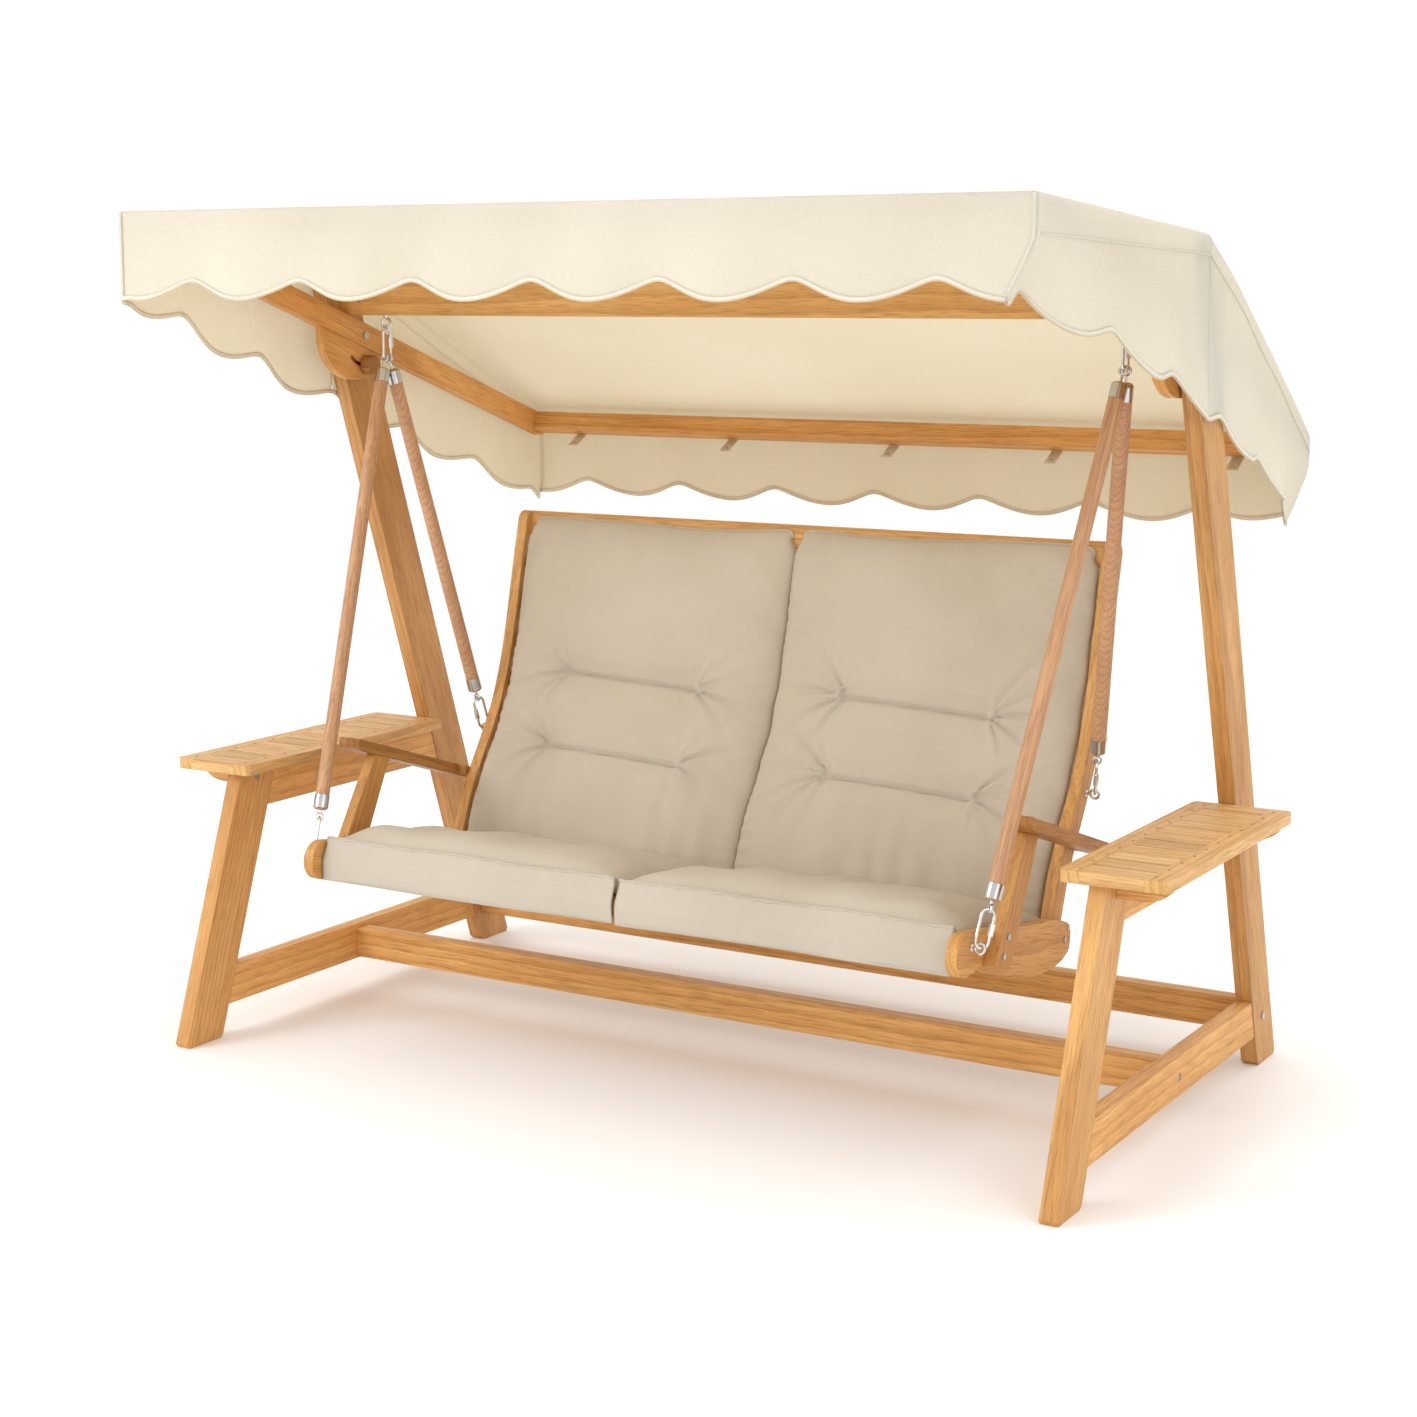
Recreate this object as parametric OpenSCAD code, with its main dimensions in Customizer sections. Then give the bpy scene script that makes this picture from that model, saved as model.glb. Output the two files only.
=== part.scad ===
// Garden swing seat: two A-shaped end frames with slatted side tables, a top
// beam, a tilting canopy frame with a fabric cover, and a two-place seat hung
// on four wooden rods. Floor at z = 0, front towards -Y, symmetric about X = 0.

/* [End frames] */
// Width over the outside faces of the legs
frame_w = 2316; // [2200:4:2420]
// Thickness of legs, posts and stretchers
board_t = 40; // [34:1:44]
// Width of a leg board measured along Y at the floor
leg_w = 126; // [110:1:140]
// Distance from the beam centre to the toe of the front leg
toe_front = 672; // [640:2:700]
// Distance from the beam centre to the front corner of the rear post's foot
heel_rear = 543; // [520:1:560]
// Height of the rear posts
post_h = 1925; // [1905:1:1930]
// Height of the lower end rails above the floor
rail_z = 77; // [70:1:90]
// Height of the lower end rails
rail_h = 93; // [80:1:100]

/* [Side tables] */
// Height of the table top
table_z = 677; // [660:1:700]
// Thickness of the table top
table_t = 26; // [22:1:28]
// Inner edge of the table, from the centre plane
table_in = 1064; // [1050:1:1080]
// Width of the table
table_w = 230; // [200:2:240]
// Number of slats between the end pieces
table_slats = 9; // [7:1:11]

/* [Beam and hanging hardware] */
// Thickness of the top beam
beam_t = 45; // [38:1:52]
// Height of the top beam
beam_h = 150; // [120:2:155]
// Underside of the top beam
beam_z = 1761; // [1755:1:1765]
// Distance of the hanging eyes from the centre plane
hang_x = 988; // [980:1:996]
// Diameter of the hanging rods
rod_d = 34; // [28:1:36]

/* [Canopy frame] */
// Slope of the canopy arms at rest
arm_tilt = 18.4; // [17.5:0.1:19]
// Depth of the canopy arms
arm_h = 58; // [50:1:60]
// Thickness of the canopy arms
arm_t = 30; // [26:1:31]
// Largest tilt of the canopy from its rest position
tilt_max = 40; // [30:1:44]

/* [Seat] */
// Half width of the seat to the inner faces of the side plates
seat_hw = 836; // [828:1:840]
// Thickness of the seat boards
seat_t = 28; // [24:1:28]
// Thickness of the seat cushions
cushion_t = 58; // [45:1:60]

/* [Hidden] */
$fn = 48;

// the cover's front and rear reach set the middle of the whole object
cover_front = 792;
cover_rear = 872;
ys = (cover_front - cover_rear) / 2;

xo = frame_w / 2;           // outside face of the legs
xi = xo - board_t;          // inside face of the legs
lean_f = 0.348;             // front leg leans back, per mm of height
lean_r = 0.342;             // rear post leans forward

function fy0(z) = -toe_front + lean_f * z;          // front leg, front edge
function fy1(z) = -toe_front + leg_w + lean_f * z;  // front leg, back edge
function ry0(z) = heel_rear - lean_r * z;           // rear post, front edge
function ry1(z) = heel_rear + leg_w - lean_r * z;   // rear post, back edge

// smooth curve through hand-placed points
function cr(a, b, c, d, t) = 0.5 * ((2 * b) + (c - a) * t + (2 * a - 5 * b + 4 * c - d) * t * t
  + (3 * b - a - 3 * c + d) * t * t * t);
function smooth(P, n) = [for (i = [0 : len(P) - 2]) for (k = [0 : n - 1])
  cr(P[max(i - 1, 0)], P[i], P[i + 1], P[min(i + 2, len(P) - 1)], k / n), P[len(P) - 1]];
function unit(v) = v / norm(v);
// points offset sideways from a curve by d
function side(C, d) = [for (i = [0 : len(C) - 1])
  let (t = unit(C[min(i + 1, len(C) - 1)] - C[max(i - 1, 0)])) C[i] + d * [-t[1], t[0]]];
function rev(L) = [for (i = [len(L) - 1 : -1 : 0]) L[i]];
function arc(c, r, a0, a1, n) = [for (i = [0 : n]) let (a = a0 + (a1 - a0) * i / n) c + r * [cos(a), sin(a)]];

module at() translate([0, ys, 0]) children();
module mir(s) mirror([s < 0 ? 1 : 0, 0, 0]) children();
// a (y, z) outline extruded along X
module slab(x0, x1, pts) translate([x0, 0, 0]) rotate([90, 0, 90]) linear_extrude(height = x1 - x0) polygon(pts);
// a round bar along X at (y, z)
module bar(x0, x1, y, z, d) translate([x0, y, z]) rotate([0, 90, 0]) cylinder(h = x1 - x0, d = d);
// put local +Z along the line from a to b, at a
module along(a, b, roll = 0) {
  v = b - a;
  translate(a) rotate([0, acos(v[2] / norm(v)), atan2(v[1], v[0])]) rotate([0, 0, roll]) children();
}
// board with rounded end corners, seen in (y, z)
module torus(r, w) rotate_extrude($fn = 32) translate([r, 0]) circle(d = w, $fn = 16);

// ---------------------------------------------------------------- end frames
module front_leg(s) color("burlywood") at() mir(s) difference() {
  slab(xi, xo, [[fy0(9) + 0, 9], [fy0(0) + 9, 0], [fy1(0) - 9, 0], [fy1(9), 9],
    [fy1(table_z - table_t), table_z - table_t], [fy0(table_z - table_t), table_z - table_t]]);
  bar(xi - 1, xo + 1, fy0(632) + leg_w / 2, 632, 8.1);
  bar(xi - 1, xi + 5, fy0(632) + leg_w / 2, 632, 20);
}
module rear_post(s) color("burlywood") at() mir(s) difference() {
  slab(xi, xo, [[ry0(0) + 9, 0], [ry1(0) - 9, 0], [ry1(9), 9],
    [ry1(post_h - 24), post_h - 24], [ry1(post_h) - 22, post_h],
    [ry0(post_h) + 34, post_h], [ry0(post_h - 40), post_h - 40], [ry0(9), 9]]);
  bar(xi - 1, xo + 1, rs_y, st_z, 8.1);
  bar(xi - 1, xo + 1, 0, beam_z + 40, 10.1);
  bar(xi - 1, xo + 1, 0, beam_z + 110, 10.1);
  bar(xi - 1, xo - 10, piv[0], piv[1], 10.1);
  bar(xi - 1, xo - 10, piv[0], piv[1] - slot_r, 10.1);
}
st_z = 120;                 // height of the stretcher bolts
rs_y = 562;                 // rear stretcher, middle
cs_y = 8;                   // centre stretcher, middle

module lower_rail(s) color("tan") at() mir(s) difference() {
  slab(xi + 2, xo - 2, [[fy1(rail_z), rail_z], [ry0(rail_z), rail_z],
    [ry0(rail_z + rail_h), rail_z + rail_h], [fy1(rail_z + rail_h), rail_z + rail_h]]);
  bar(xi - 1, xo + 1, cs_y, st_z, 8.1);
  bar(xo - 8, xo + 1, cs_y, st_z, 20);
}
rail2_z = 553;
module table_rail(s) color("tan") at() mir(s)
  slab(xi + 2, xo - 2, [[fy1(rail2_z), rail2_z], [ry0(rail2_z), rail2_z],
    [ry0(table_z - table_t), table_z - table_t], [fy1(table_z - table_t), table_z - table_t]]);

// side table: two long edge boards, two end boards, slats between them
tab_y0 = -484; tab_y1 = 305; edge_w = 46; gap = 6;
tab_r = 16;
module table_frame(s) color("wheat") at() mir(s) translate([table_in, 0, table_z - table_t]) {
  for (k = [0, 1]) linear_extrude(height = table_t) {
    intersection() {
      translate([k * (table_w - edge_w), tab_y0]) square([edge_w, tab_y1 - tab_y0]);
      union() {
        translate([tab_r, tab_y0]) square([table_w - 2 * tab_r, tab_y1 - tab_y0]);
        translate([0, tab_y0 + tab_r]) square([table_w, tab_y1 - tab_y0 - 2 * tab_r]);
        for (i = [0, 1]) for (j = [0, 1])
          translate([tab_r + i * (table_w - 2 * tab_r), tab_y0 + tab_r + j * (tab_y1 - tab_y0 - 2 * tab_r)]) circle(r = tab_r);
      }
    }
  }
}
n_cross = table_slats + 2;
cross_p = (tab_y1 - tab_y0 + gap) / n_cross;
module table_slats_(s) color("wheat") at() mir(s)
  for (i = [0 : n_cross - 1])
    translate([table_in + edge_w, tab_y0 + i * cross_p, table_z - table_t])
      cube([table_w - 2 * edge_w, cross_p - gap, table_t]);

// short bearers that carry the outer half of each table
br_h = 26;
module bearer_outline() polygon(concat([[0, 0], [0, -br_h - 14]], [for (i = [0 : 8]) let (a = i * 90 / 8)
  [52 + 62 * sin(a), -br_h - 14 + (br_h + 2) * (1 - cos(a))]], [[114, 0]]));
module bearer(y) translate([xo, y + 14, table_z - table_t]) rotate([90, 0, 0]) linear_extrude(height = 28) bearer_outline();
module table_bearers() color("tan") at() for (s = [-1, 1]) mir(s)
  for (y = [fy0(632) + leg_w / 2, tab_y1 - 26]) difference() {
    bearer(y);
    translate([xo - 1, y, 632]) rotate([0, 90, 0]) cylinder(h = 40, d = 8.1);
  }

module stretcher(y) difference() {
  translate([-xi, y - board_t / 2, st_z - 39]) cube([2 * xi, board_t, 78]);
  for (s = [-1, 1]) {
    mir(s) bar(xi - 62, xi + 1, y, st_z, 8.1);
    mir(s) translate([xi - 50, y, st_z - 40]) cylinder(h = 60, d = 14.1);
  }
}
module centre_stretcher() color("tan") at() difference() {
  union() {
    stretcher(cs_y);
    for (s = [-1, 1]) mir(s) translate([xi, cs_y - board_t / 2, st_z - 39]) cube([2, board_t, 78]);
  }
  for (s = [-1, 1]) mir(s) bar(xi - 1, xi + 3, cs_y, st_z, 8.1);
}
module rear_stretcher() color("tan") at() stretcher(rs_y);
module top_beam() color("burlywood") at() difference() {
  translate([-xi, -beam_t / 2, beam_z]) cube([2 * xi, beam_t, beam_h]);
  for (s = [-1, 1]) mir(s) {
    for (dz = [40, 110]) {
      bar(xi - 72, xi + 1, 0, beam_z + dz, 10.1);
      translate([xi - 60, -beam_t / 2 - 1, beam_z + dz]) rotate([-90, 0, 0]) cylinder(h = beam_t - 8, d = 16.1);
    }
    translate([hang_x, 0, beam_z - 1]) cylinder(h = beam_h + 2, d = 8.1);
    translate([hang_x, 0, beam_z + beam_h - 10]) cylinder(h = 11, d = 24);
  }
}

module hex_bolt(x0, x1, y, z, d, head = 4, hd = 18) {
  bar(x0, x1, y, z, d);
  translate([x1, y, z]) rotate([0, 90, 0]) cylinder(h = head, d = hd);
}
module frame_bolts() color("silver") at() for (s = [-1, 1]) mir(s) {
  hex_bolt(xi - 50, xo, rs_y, st_z, 8);
  hex_bolt(xi - 50, xo - 8, cs_y, st_z, 8);
  for (dz = [40, 110]) hex_bolt(xi - 60, xo, 0, beam_z + dz, 10);
  for (y = [fy0(632) + leg_w / 2]) {
    bar(xi + 5, xo + 34, y, 632, 8);
    difference() {
      bar(xi + 1, xi + 5, y, 632, 18);
      bar(xi, xi + 3.5, y, 632, 9);
    }
  }
}
module frame_barrel_nuts() color("silver") at() for (s = [-1, 1]) mir(s) {
  for (y = [rs_y, cs_y]) difference() {
    translate([xi - 50, y, st_z - 10]) cylinder(h = 29, d = 14);
    bar(xi - 62, xi - 30, y, st_z, 8.1);
  }
  for (dz = [40, 110]) difference() {
    translate([xi - 60, -beam_t / 2 + 4, beam_z + dz]) rotate([-90, 0, 0]) cylinder(h = beam_t - 13, d = 16);
    bar(xi - 80, xi - 40, 0, beam_z + dz, 10.1);
  }
}

// ------------------------------------------------------------ hanging hardware
eye_r = 13.5; eye_w = 7;                // top eyebolt ring
eye_z = beam_z - 4 - eye_r - eye_w / 2; // centre of the top ring
pin_z = eye_z - eye_r;                  // swing axis: the ring's lowest wire
module eyebolt_v() {
  translate([0, 0, eye_z]) rotate([90, 0, 0]) torus(eye_r, eye_w);
  translate([0, 0, eye_z + eye_r]) cylinder(h = beam_z + beam_h - 2 - eye_z - eye_r, d = 8);
  translate([0, 0, beam_z + beam_h - 9]) cylinder(h = 7, d = 16, $fn = 6);
  translate([0, 0, beam_z - 4]) cylinder(h = 3.9, d = 15);
}
module beam_eyebolts() color("silver") at() for (s = [-1, 1]) mir(s) translate([hang_x, 0, 0]) eyebolt_v();

lk_r = 14.5; lk_w = 7; lk_s = 54;       // quick link: bend radius, wire, straight
// quick link along +Z from its first wire, in the local XZ plane
module link_loop() {
  // bends
  for (e = [0, 1]) translate([0, 0, lk_r + e * lk_s]) rotate([90, 0, 0])
    rotate([0, 0, e == 0 ? 180 : 0]) rotate_extrude(angle = 180) translate([lk_r, 0]) circle(d = lk_w, $fn = 24);
  for (k = [-1, 1]) translate([k * lk_r, 0, lk_r]) cylinder(h = lk_s, d = lk_w);
}
module link_nut() translate([lk_r, 0, lk_r + 14]) difference() {
  cylinder(h = 26, d = 13.5, $fn = 6);
  translate([0, 0, -1]) cylinder(h = 28, d = lk_w + 0.1);
}
re_r = 9; re_w = 6;                     // eyes screwed into the rods
se_r = 10.5; se_w = 7;                  // eyebolts on the seat

top_link_z = pin_z + 7.8;               // first wire of the top link
tw = top_link_z - 2 * lk_r - lk_s;      // lowest wire of the top link
rod_pf = 44; rod_pr = 36;               // where the two rods hang on the link's bend
tf = [hang_x, -lk_r * sin(rod_pf), tw + lk_r * (1 - cos(rod_pf))];
tr = [hang_x, lk_r * sin(rod_pr), tw + lk_r * (1 - cos(rod_pr))];
ef = [seat_hw + seat_t + 20, -456, 480];   // front eyebolt ring on the side plate
er = [seat_hw + 22, 216, 686];             // rear eyebolt ring on the back post
function dir(a, b) = (b - a) / norm(b - a);
// rod end points: tips of the wood
function rod_a(t, e) = t + 29 * dir(t, e);
function rod_b(t, e) = e - 103 * dir(t, e);

module rod(t, e) { a = rod_a(t, e); b = rod_b(t, e); L = norm(b - a);
  along(a, b) difference() {
    union() {
      translate([0, 0, 36]) cylinder(h = L - 72, d = rod_d);
      for (k = [0, 1]) translate([0, 0, k * L]) mirror([0, 0, k]) {
        cylinder(h = 2, d1 = rod_d - 7, d2 = rod_d - 2);
        translate([0, 0, 2]) cylinder(h = 2, d = rod_d - 2);
        translate([0, 0, 4]) cylinder(h = 32, d = rod_d - 3);
      }
    }
    translate([0, 0, -1]) cylinder(h = 46, d = 6.1);
    translate([0, 0, L - 45]) cylinder(h = 46, d = 6.1);
  }
}
module ferrules(t, e) { a = rod_a(t, e); b = rod_b(t, e); L = norm(b - a);
  along(a, b) for (k = [0, 1]) translate([0, 0, k * L]) mirror([0, 0, k]) translate([0, 0, 4]) difference() {
    cylinder(h = 32, d = rod_d + 2.4);
    translate([0, 0, -1]) cylinder(h = 34, d = rod_d - 2.9);
  }
}
module eyes(t, e) { a = rod_a(t, e); b = rod_b(t, e); L = norm(b - a);
  along(t, e, e[1] < 0 ? 84 : 114) translate([0, 0, 0.5]) rotate([90, 0, 0]) torus(re_r, re_w);
  along(t, e) translate([0, 0, 0.5 + re_r]) cylinder(h = 60, d = 6);
  along(e, t, e[1] < 0 ? 58 : 80) translate([0, 0, 85.5]) rotate([90, 0, 0]) torus(re_r, re_w);
  along(e, t) translate([0, 0, 85.5 + re_r]) cylinder(h = 48, d = 6);
}
module hanger_rods() color("peru") at() for (s = [-1, 1]) mir(s) { rod(tf, ef); rod(tr, er); }
module rod_ferrules() color("silver") at() for (s = [-1, 1]) mir(s) { ferrules(tf, ef); ferrules(tr, er); }
module rod_eyes() color("silver") at() for (s = [-1, 1]) mir(s) { eyes(tf, ef); eyes(tr, er); }
module on_links() {
  translate([hang_x, 0, top_link_z]) rotate([180, 0, 90]) children();
  along(ef, tf, -32) translate([0, 0, 1.5]) children();
  along(er, tr, -10) translate([0, 0, 1.5]) children();
}
module quick_links() color("silver") at() for (s = [-1, 1]) mir(s) on_links() link_loop();
module link_nuts() color("silver") at() for (s = [-1, 1]) mir(s) on_links() link_nut();
module seat_eye(e, t, x1, x0) {
  along(e, t, e[1] < 0 ? 103 : 58) rotate([90, 0, 0]) torus(se_r, se_w);
  bar(x0 + 5, e[0] - se_r, e[1], e[2], 7);
  translate([x1 + 0.1, e[1], e[2]]) rotate([0, 90, 0]) cylinder(h = 2, d = 15);
}
module seat_eyebolts() color("silver") at() for (s = [-1, 1]) mir(s) {
  seat_eye(ef, tf, seat_hw + seat_t, seat_hw);
  seat_eye(er, tr, seat_hw, seat_hw - seat_t);
}

// --------------------------------------------------------------- canopy frame
piv = [35, 1710];                       // tilt axis (y, z)
slot_r = 75;
bar_s = 46;
arm_x1 = xi - 4; arm_x0 = arm_x1 - arm_t;
// local frame of the arm: u along it towards the rear, v up
module arm_frame() translate([0, piv[0], piv[1]]) rotate([-arm_tilt, 0, 0]) children();
module canopy_arm(s) color("sienna") at() mir(s) difference() {
  arm_frame() difference() {
    slab(arm_x0, arm_x1, [[-845, -arm_h / 2 + 18], [-832, -arm_h / 2], [835, -arm_h / 2], [850, -arm_h / 2 + 12],
      [850, arm_h / 2], [-845, arm_h / 2]]);
    bar(arm_x0 - 1, arm_x1 + 1, 0, 0, 10.1);
  }
  above_roof();
}
// the tops at the front are bevelled to lie flat under the cloth
module above_roof() slab(-arm_x1 - 1, arm_x1 + 1, [[-900, roof_z(-900) - 6], [-300, roof_z(-300) - 6], [-300, 2200], [-900, 2200]]);
// plate below the arm, with the curved slot that the knob's bolt runs in
pl_c = [-30, 0];
module tilt_plate(s) color("sienna") at() mir(s) translate([0, piv[0], piv[1]]) difference() {
  intersection() {
    slab(arm_x0 + 3, arm_x1 - 3, concat([for (i = [0 : 40]) let (a = 180 + 180 * i / 40) [pl_c[0] + 133 * cos(a), 112 * sin(a)]],
      [[pl_c[0] + 133, 120], [pl_c[0] - 133, 120]]));
    rotate([-arm_tilt, 0, 0]) translate([0, -400, -400 - arm_h / 2]) cube([2000, 800, 400]);
    translate([0, -400, -400]) cube([2000, 462, 800]);
  }
  slab(arm_x0, arm_x1, concat(arc([0, 0], slot_r + 5.1, 266 - tilt_max, 274.5, 24), cap_pts(274.5, 1),
    arc([0, 0], slot_r - 5.1, 274.5, 266 - tilt_max, 24), cap_pts(266 - tilt_max, -1)));
}
// rounded slot end at angle a, turning outwards to inwards (k = 1) or back (k = -1)
function cap_pts(a, k) = [for (i = [1 : 7]) slot_r * [cos(a), sin(a)]
  + 5.1 * (k > 0 ? [cos(a + i * 22.5), sin(a + i * 22.5)] : [cos(a + 180 + i * 22.5), sin(a + 180 + i * 22.5)])];
module cross_bar(u) arm_frame() translate([-arm_x0, u - bar_s / 2, -bar_s / 2]) cube([2 * arm_x0, bar_s, bar_s + 4]);
module canopy_front_bar() color("sienna") at() difference() {
  cross_bar(-822);
  above_roof();
}
module canopy_rear_bar() color("sienna") at() cross_bar(812);
module canopy_pivot_bolts() color("silver") at() for (s = [-1, 1]) mir(s) {
  bar(arm_x0, xo - 10, piv[0], piv[1], 10);
  translate([arm_x0 - 4, piv[0], piv[1]]) rotate([0, 90, 0]) cylinder(h = 4, d = 20);
  difference() {
    bar(arm_x1 + 0.2, xi - 0.2, piv[0], piv[1], 26);
    bar(arm_x1 - 1, xi + 1, piv[0], piv[1], 10.1);
  }
}
// wooden hand knob on the bolt through the slot
module tilt_knob(s) color("saddlebrown") at() mir(s) translate([0, piv[0], piv[1] - slot_r]) {
  translate([arm_x0 - 26, 0, 0]) rotate([0, 90, 0]) cylinder(h = 24, d = 50);
  translate([arm_x0 - 32, 0, 0]) rotate([0, 90, 0]) cylinder(h = 6, d1 = 38, d2 = 50);
  translate([arm_x0 - 2, 0, 0]) rotate([0, 90, 0]) cylinder(h = xo - 10 - arm_x0 + 2, d = 10);
  translate([arm_x0 - 2, 0, 0]) rotate([0, 90, 0]) cylinder(h = 4, d = 24);
}

// --------------------------------------------------------------- canopy cover
cv_t = 4;
ridge = [0, 1938];
f_top = [-cover_front, 1999];
r_top = [cover_rear - 6, 1479];
val_f = 197; val_r = 228;
side_x = xo + 5;                         // cover passes outside the posts
end_x = arm_x1 + 2;                      // and closes in at the ends
cut_f = -205; cut_r = 190;               // where the ridge part ends
function roof_z(y) = y < 0 ? ridge[1] + (f_top[1] - ridge[1]) * y / f_top[0]
  : ridge[1] + (r_top[1] - ridge[1]) * y / r_top[0];
function hem_z(y) = 1800 - 0.34 * (y + cover_front);
function pan_x(y) = end_x + (side_x - end_x) * (y < cut_f ? (y + cover_front) / (cut_f + cover_front)
  : y > cut_r ? (cover_rear - y) / (cover_rear - cut_r) : 1);
// roof slab between two stations
module roof(y0, y1) slab(-pan_x(y0) , pan_x(y0), [[y0, roof_z(y0) - cv_t], [y1, roof_z(y1) - cv_t], [y1, roof_z(y1)], [y0, roof_z(y0)]]);
module side_panel(y0, y1, w0, w1) hull() {
  translate([w0, y0, 0]) rotate([90, 0, 90]) linear_extrude(height = cv_t) polygon([[0, hem_z(y0)], [0.5, hem_z(y0)], [0.5, roof_z(y0) - cv_t - 1], [0, roof_z(y0) - cv_t - 1]]);
  translate([w1, y1, 0]) rotate([90, 0, 90]) linear_extrude(height = cv_t) polygon([[-0.5, hem_z(y1)], [0, hem_z(y1)], [0, roof_z(y1) - cv_t - 1], [-0.5, roof_z(y1) - cv_t - 1]]);
}
module canopy_cover_ridge() color("ivory") at() {
  slab(-side_x - cv_t, side_x + cv_t, [[cut_f + 5, roof_z(cut_f + 5) - cv_t], ridge - [0, cv_t], [102, roof_z(102) - cv_t],
    [102, roof_z(102)], ridge, [cut_f + 5, roof_z(cut_f + 5)]]);
  slab(-side_x + 12, side_x - 12, [[90, roof_z(90) - cv_t], [cut_r - 8, roof_z(cut_r - 8) - cv_t], [cut_r - 8, roof_z(cut_r - 8)], [90, roof_z(90)]]);
  for (s = [-1, 1]) mir(s) slab(side_x, side_x + cv_t, [[-150, hem_z(-150) + 30], [30, hem_z(30) + 30],
    [98, 1700], [98, roof_z(98) - cv_t - 1], ridge - [0, cv_t + 1], [cut_f + 5, roof_z(cut_f + 5) - cv_t - 1], [cut_f + 5, 1720]]);
}
module canopy_cover_front() color("ivory") at() {
  hull() {
    slab(-side_x - cv_t, side_x + cv_t, [[cut_f - 5, roof_z(cut_f - 5) - cv_t], [cut_f - 4, roof_z(cut_f - 4)], [cut_f - 5, roof_z(cut_f - 5)]]);
    slab(-end_x - cv_t, end_x + cv_t, [[-cover_front, f_top[1] - cv_t], [-cover_front + 1, f_top[1] - cv_t], [-cover_front + 1, f_top[1]], [-cover_front, f_top[1]]]);
  }
  translate([-end_x - cv_t, -cover_front, f_top[1] - val_f]) cube([2 * end_x + 2 * cv_t, cv_t, val_f - cv_t - 1]);
  for (s = [-1, 1]) mir(s) side_panel(-cover_front + cv_t + 0.3, cut_f - 5, end_x, side_x);
}
module canopy_cover_rear() color("ivory") at() {
  hull() {
    slab(-side_x - cv_t - 5.5, side_x + cv_t + 5.5, [[cut_r + 8, roof_z(cut_r + 8) - cv_t], [cut_r + 8, roof_z(cut_r + 8)], [cut_r + 7.5, roof_z(cut_r + 7.5)]]);
    slab(-end_x - cv_t, end_x + cv_t, [[r_top[0] - 1, r_top[1] - cv_t], [r_top[0], r_top[1] - cv_t], [r_top[0], r_top[1]], [r_top[0] - 1, r_top[1]]]);
  }
  translate([-end_x - cv_t, cover_rear - cv_t, r_top[1] - val_r]) cube([2 * end_x + 2 * cv_t, cv_t, val_r + 0]);
  for (s = [-1, 1]) mir(s) side_panel(cut_r + 8, cover_rear - cv_t - 0.3, side_x + 5.5, end_x);
}
strap_x = [-950, -456, 32, 490, 962];
// webbing that comes down behind the rear bar and runs forwards under it to a snap
module canopy_straps() color("tan") at() for (x = strap_x) arm_frame() translate([0, 812, 2])
  slab(x - 15, x + 15, [[25.3, 20], [27.3, 20], [27.3, -26.5], [-11, -68], [-12.5, -66.7], [25.3, -25.8]]);
module canopy_studs() color("silver") at() for (x = strap_x) arm_frame() translate([x, 812 - 4.66, 2 - 58.05])
  rotate([47, 0, 0]) { cylinder(h = 2, d = 11); translate([0, 0, 1.9]) cylinder(h = 1.6, d = 6); }

// ----------------------------------------------------------------------- seat
sw0 = seat_hw; sw1 = seat_hw + seat_t;
plate_top = smooth([[-462, 513], [-364, 498], [-207, 470], [-100, 452], [-40, 446], [10, 436], [58, 420]], 5);
plate_bot = smooth([[66, 352], [20, 337], [-65, 333], [-147, 341], [-245, 365], [-350, 400], [-418, 424], [-444, 421]], 5);
nose = arc([-474, 467], 47, -72, -262, 20);
module side_plate(s) color("goldenrod") at() mir(s) difference() {
  slab(sw0, sw1, concat(plate_top, [[74, 408], [78, 392], [74, 366]], plate_bot, nose));
  bar(sw0 + 4, sw1 + 1, ef[1], ef[2], 7.1);
  for (p = sp_bolts) bar(sw0 - 1, sw1 + 1, p[0], p[1], 6.1);
}
module arm_post(s) color("goldenrod") at() mir(s) difference() {
  slab(sw1, sw1 + seat_t, [[-398, 430], [-392, 422], [-322, 410], [-312, 414],
    [-183, ar_z(-183) - 29.8], [-237, ar_z(-237) - 29.8]]);
  for (p = ap_bolts) bar(sw1 - 1, sw1 + seat_t + 1, p[0], p[1], 6.1);
}
ar_slope = -0.317;
function ar_z(y) = 734 + ar_slope * (y + 298);   // top of the armrest
module armrest(s) color("goldenrod") at() mir(s) difference() {
  slab(sw1, sw1 + 62, concat([[-290, ar_z(-290)]], arc([-288, ar_z(-298) - 14.5], 14, 100, 250, 8),
    [[-280, ar_z(-280) - 29.5], [152, ar_z(152) - 29.5]], arc([156, ar_z(156) - 15], 14, -85, 60, 8)));
  for (p = ar_bolts) bar(sw1 - 1, sw1 + 63, p[0], p[1], 6.1);
}
module arm_spacers() color("goldenrod") at() for (s = [-1, 1]) mir(s) difference() {
  slab(sw0, sw1, [[96, ar_z(96) - 27], [166, ar_z(166) - 27], [170, ar_z(170) - 6], [100, ar_z(100) - 2]]);
  for (p = ar_bolts) bar(sw0 - 1, sw1 + 1, p[0], p[1], 6.1);
}
back_c = smooth([[52, 372], [62, 420], [80, 470], [104, 525], [136, 580], [176, 640], [214, 700], [248, 762], [286, 862], [314, 962],
  [338, 1067], [358, 1150], [376, 1222]], 4);
back_w = 27;
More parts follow.
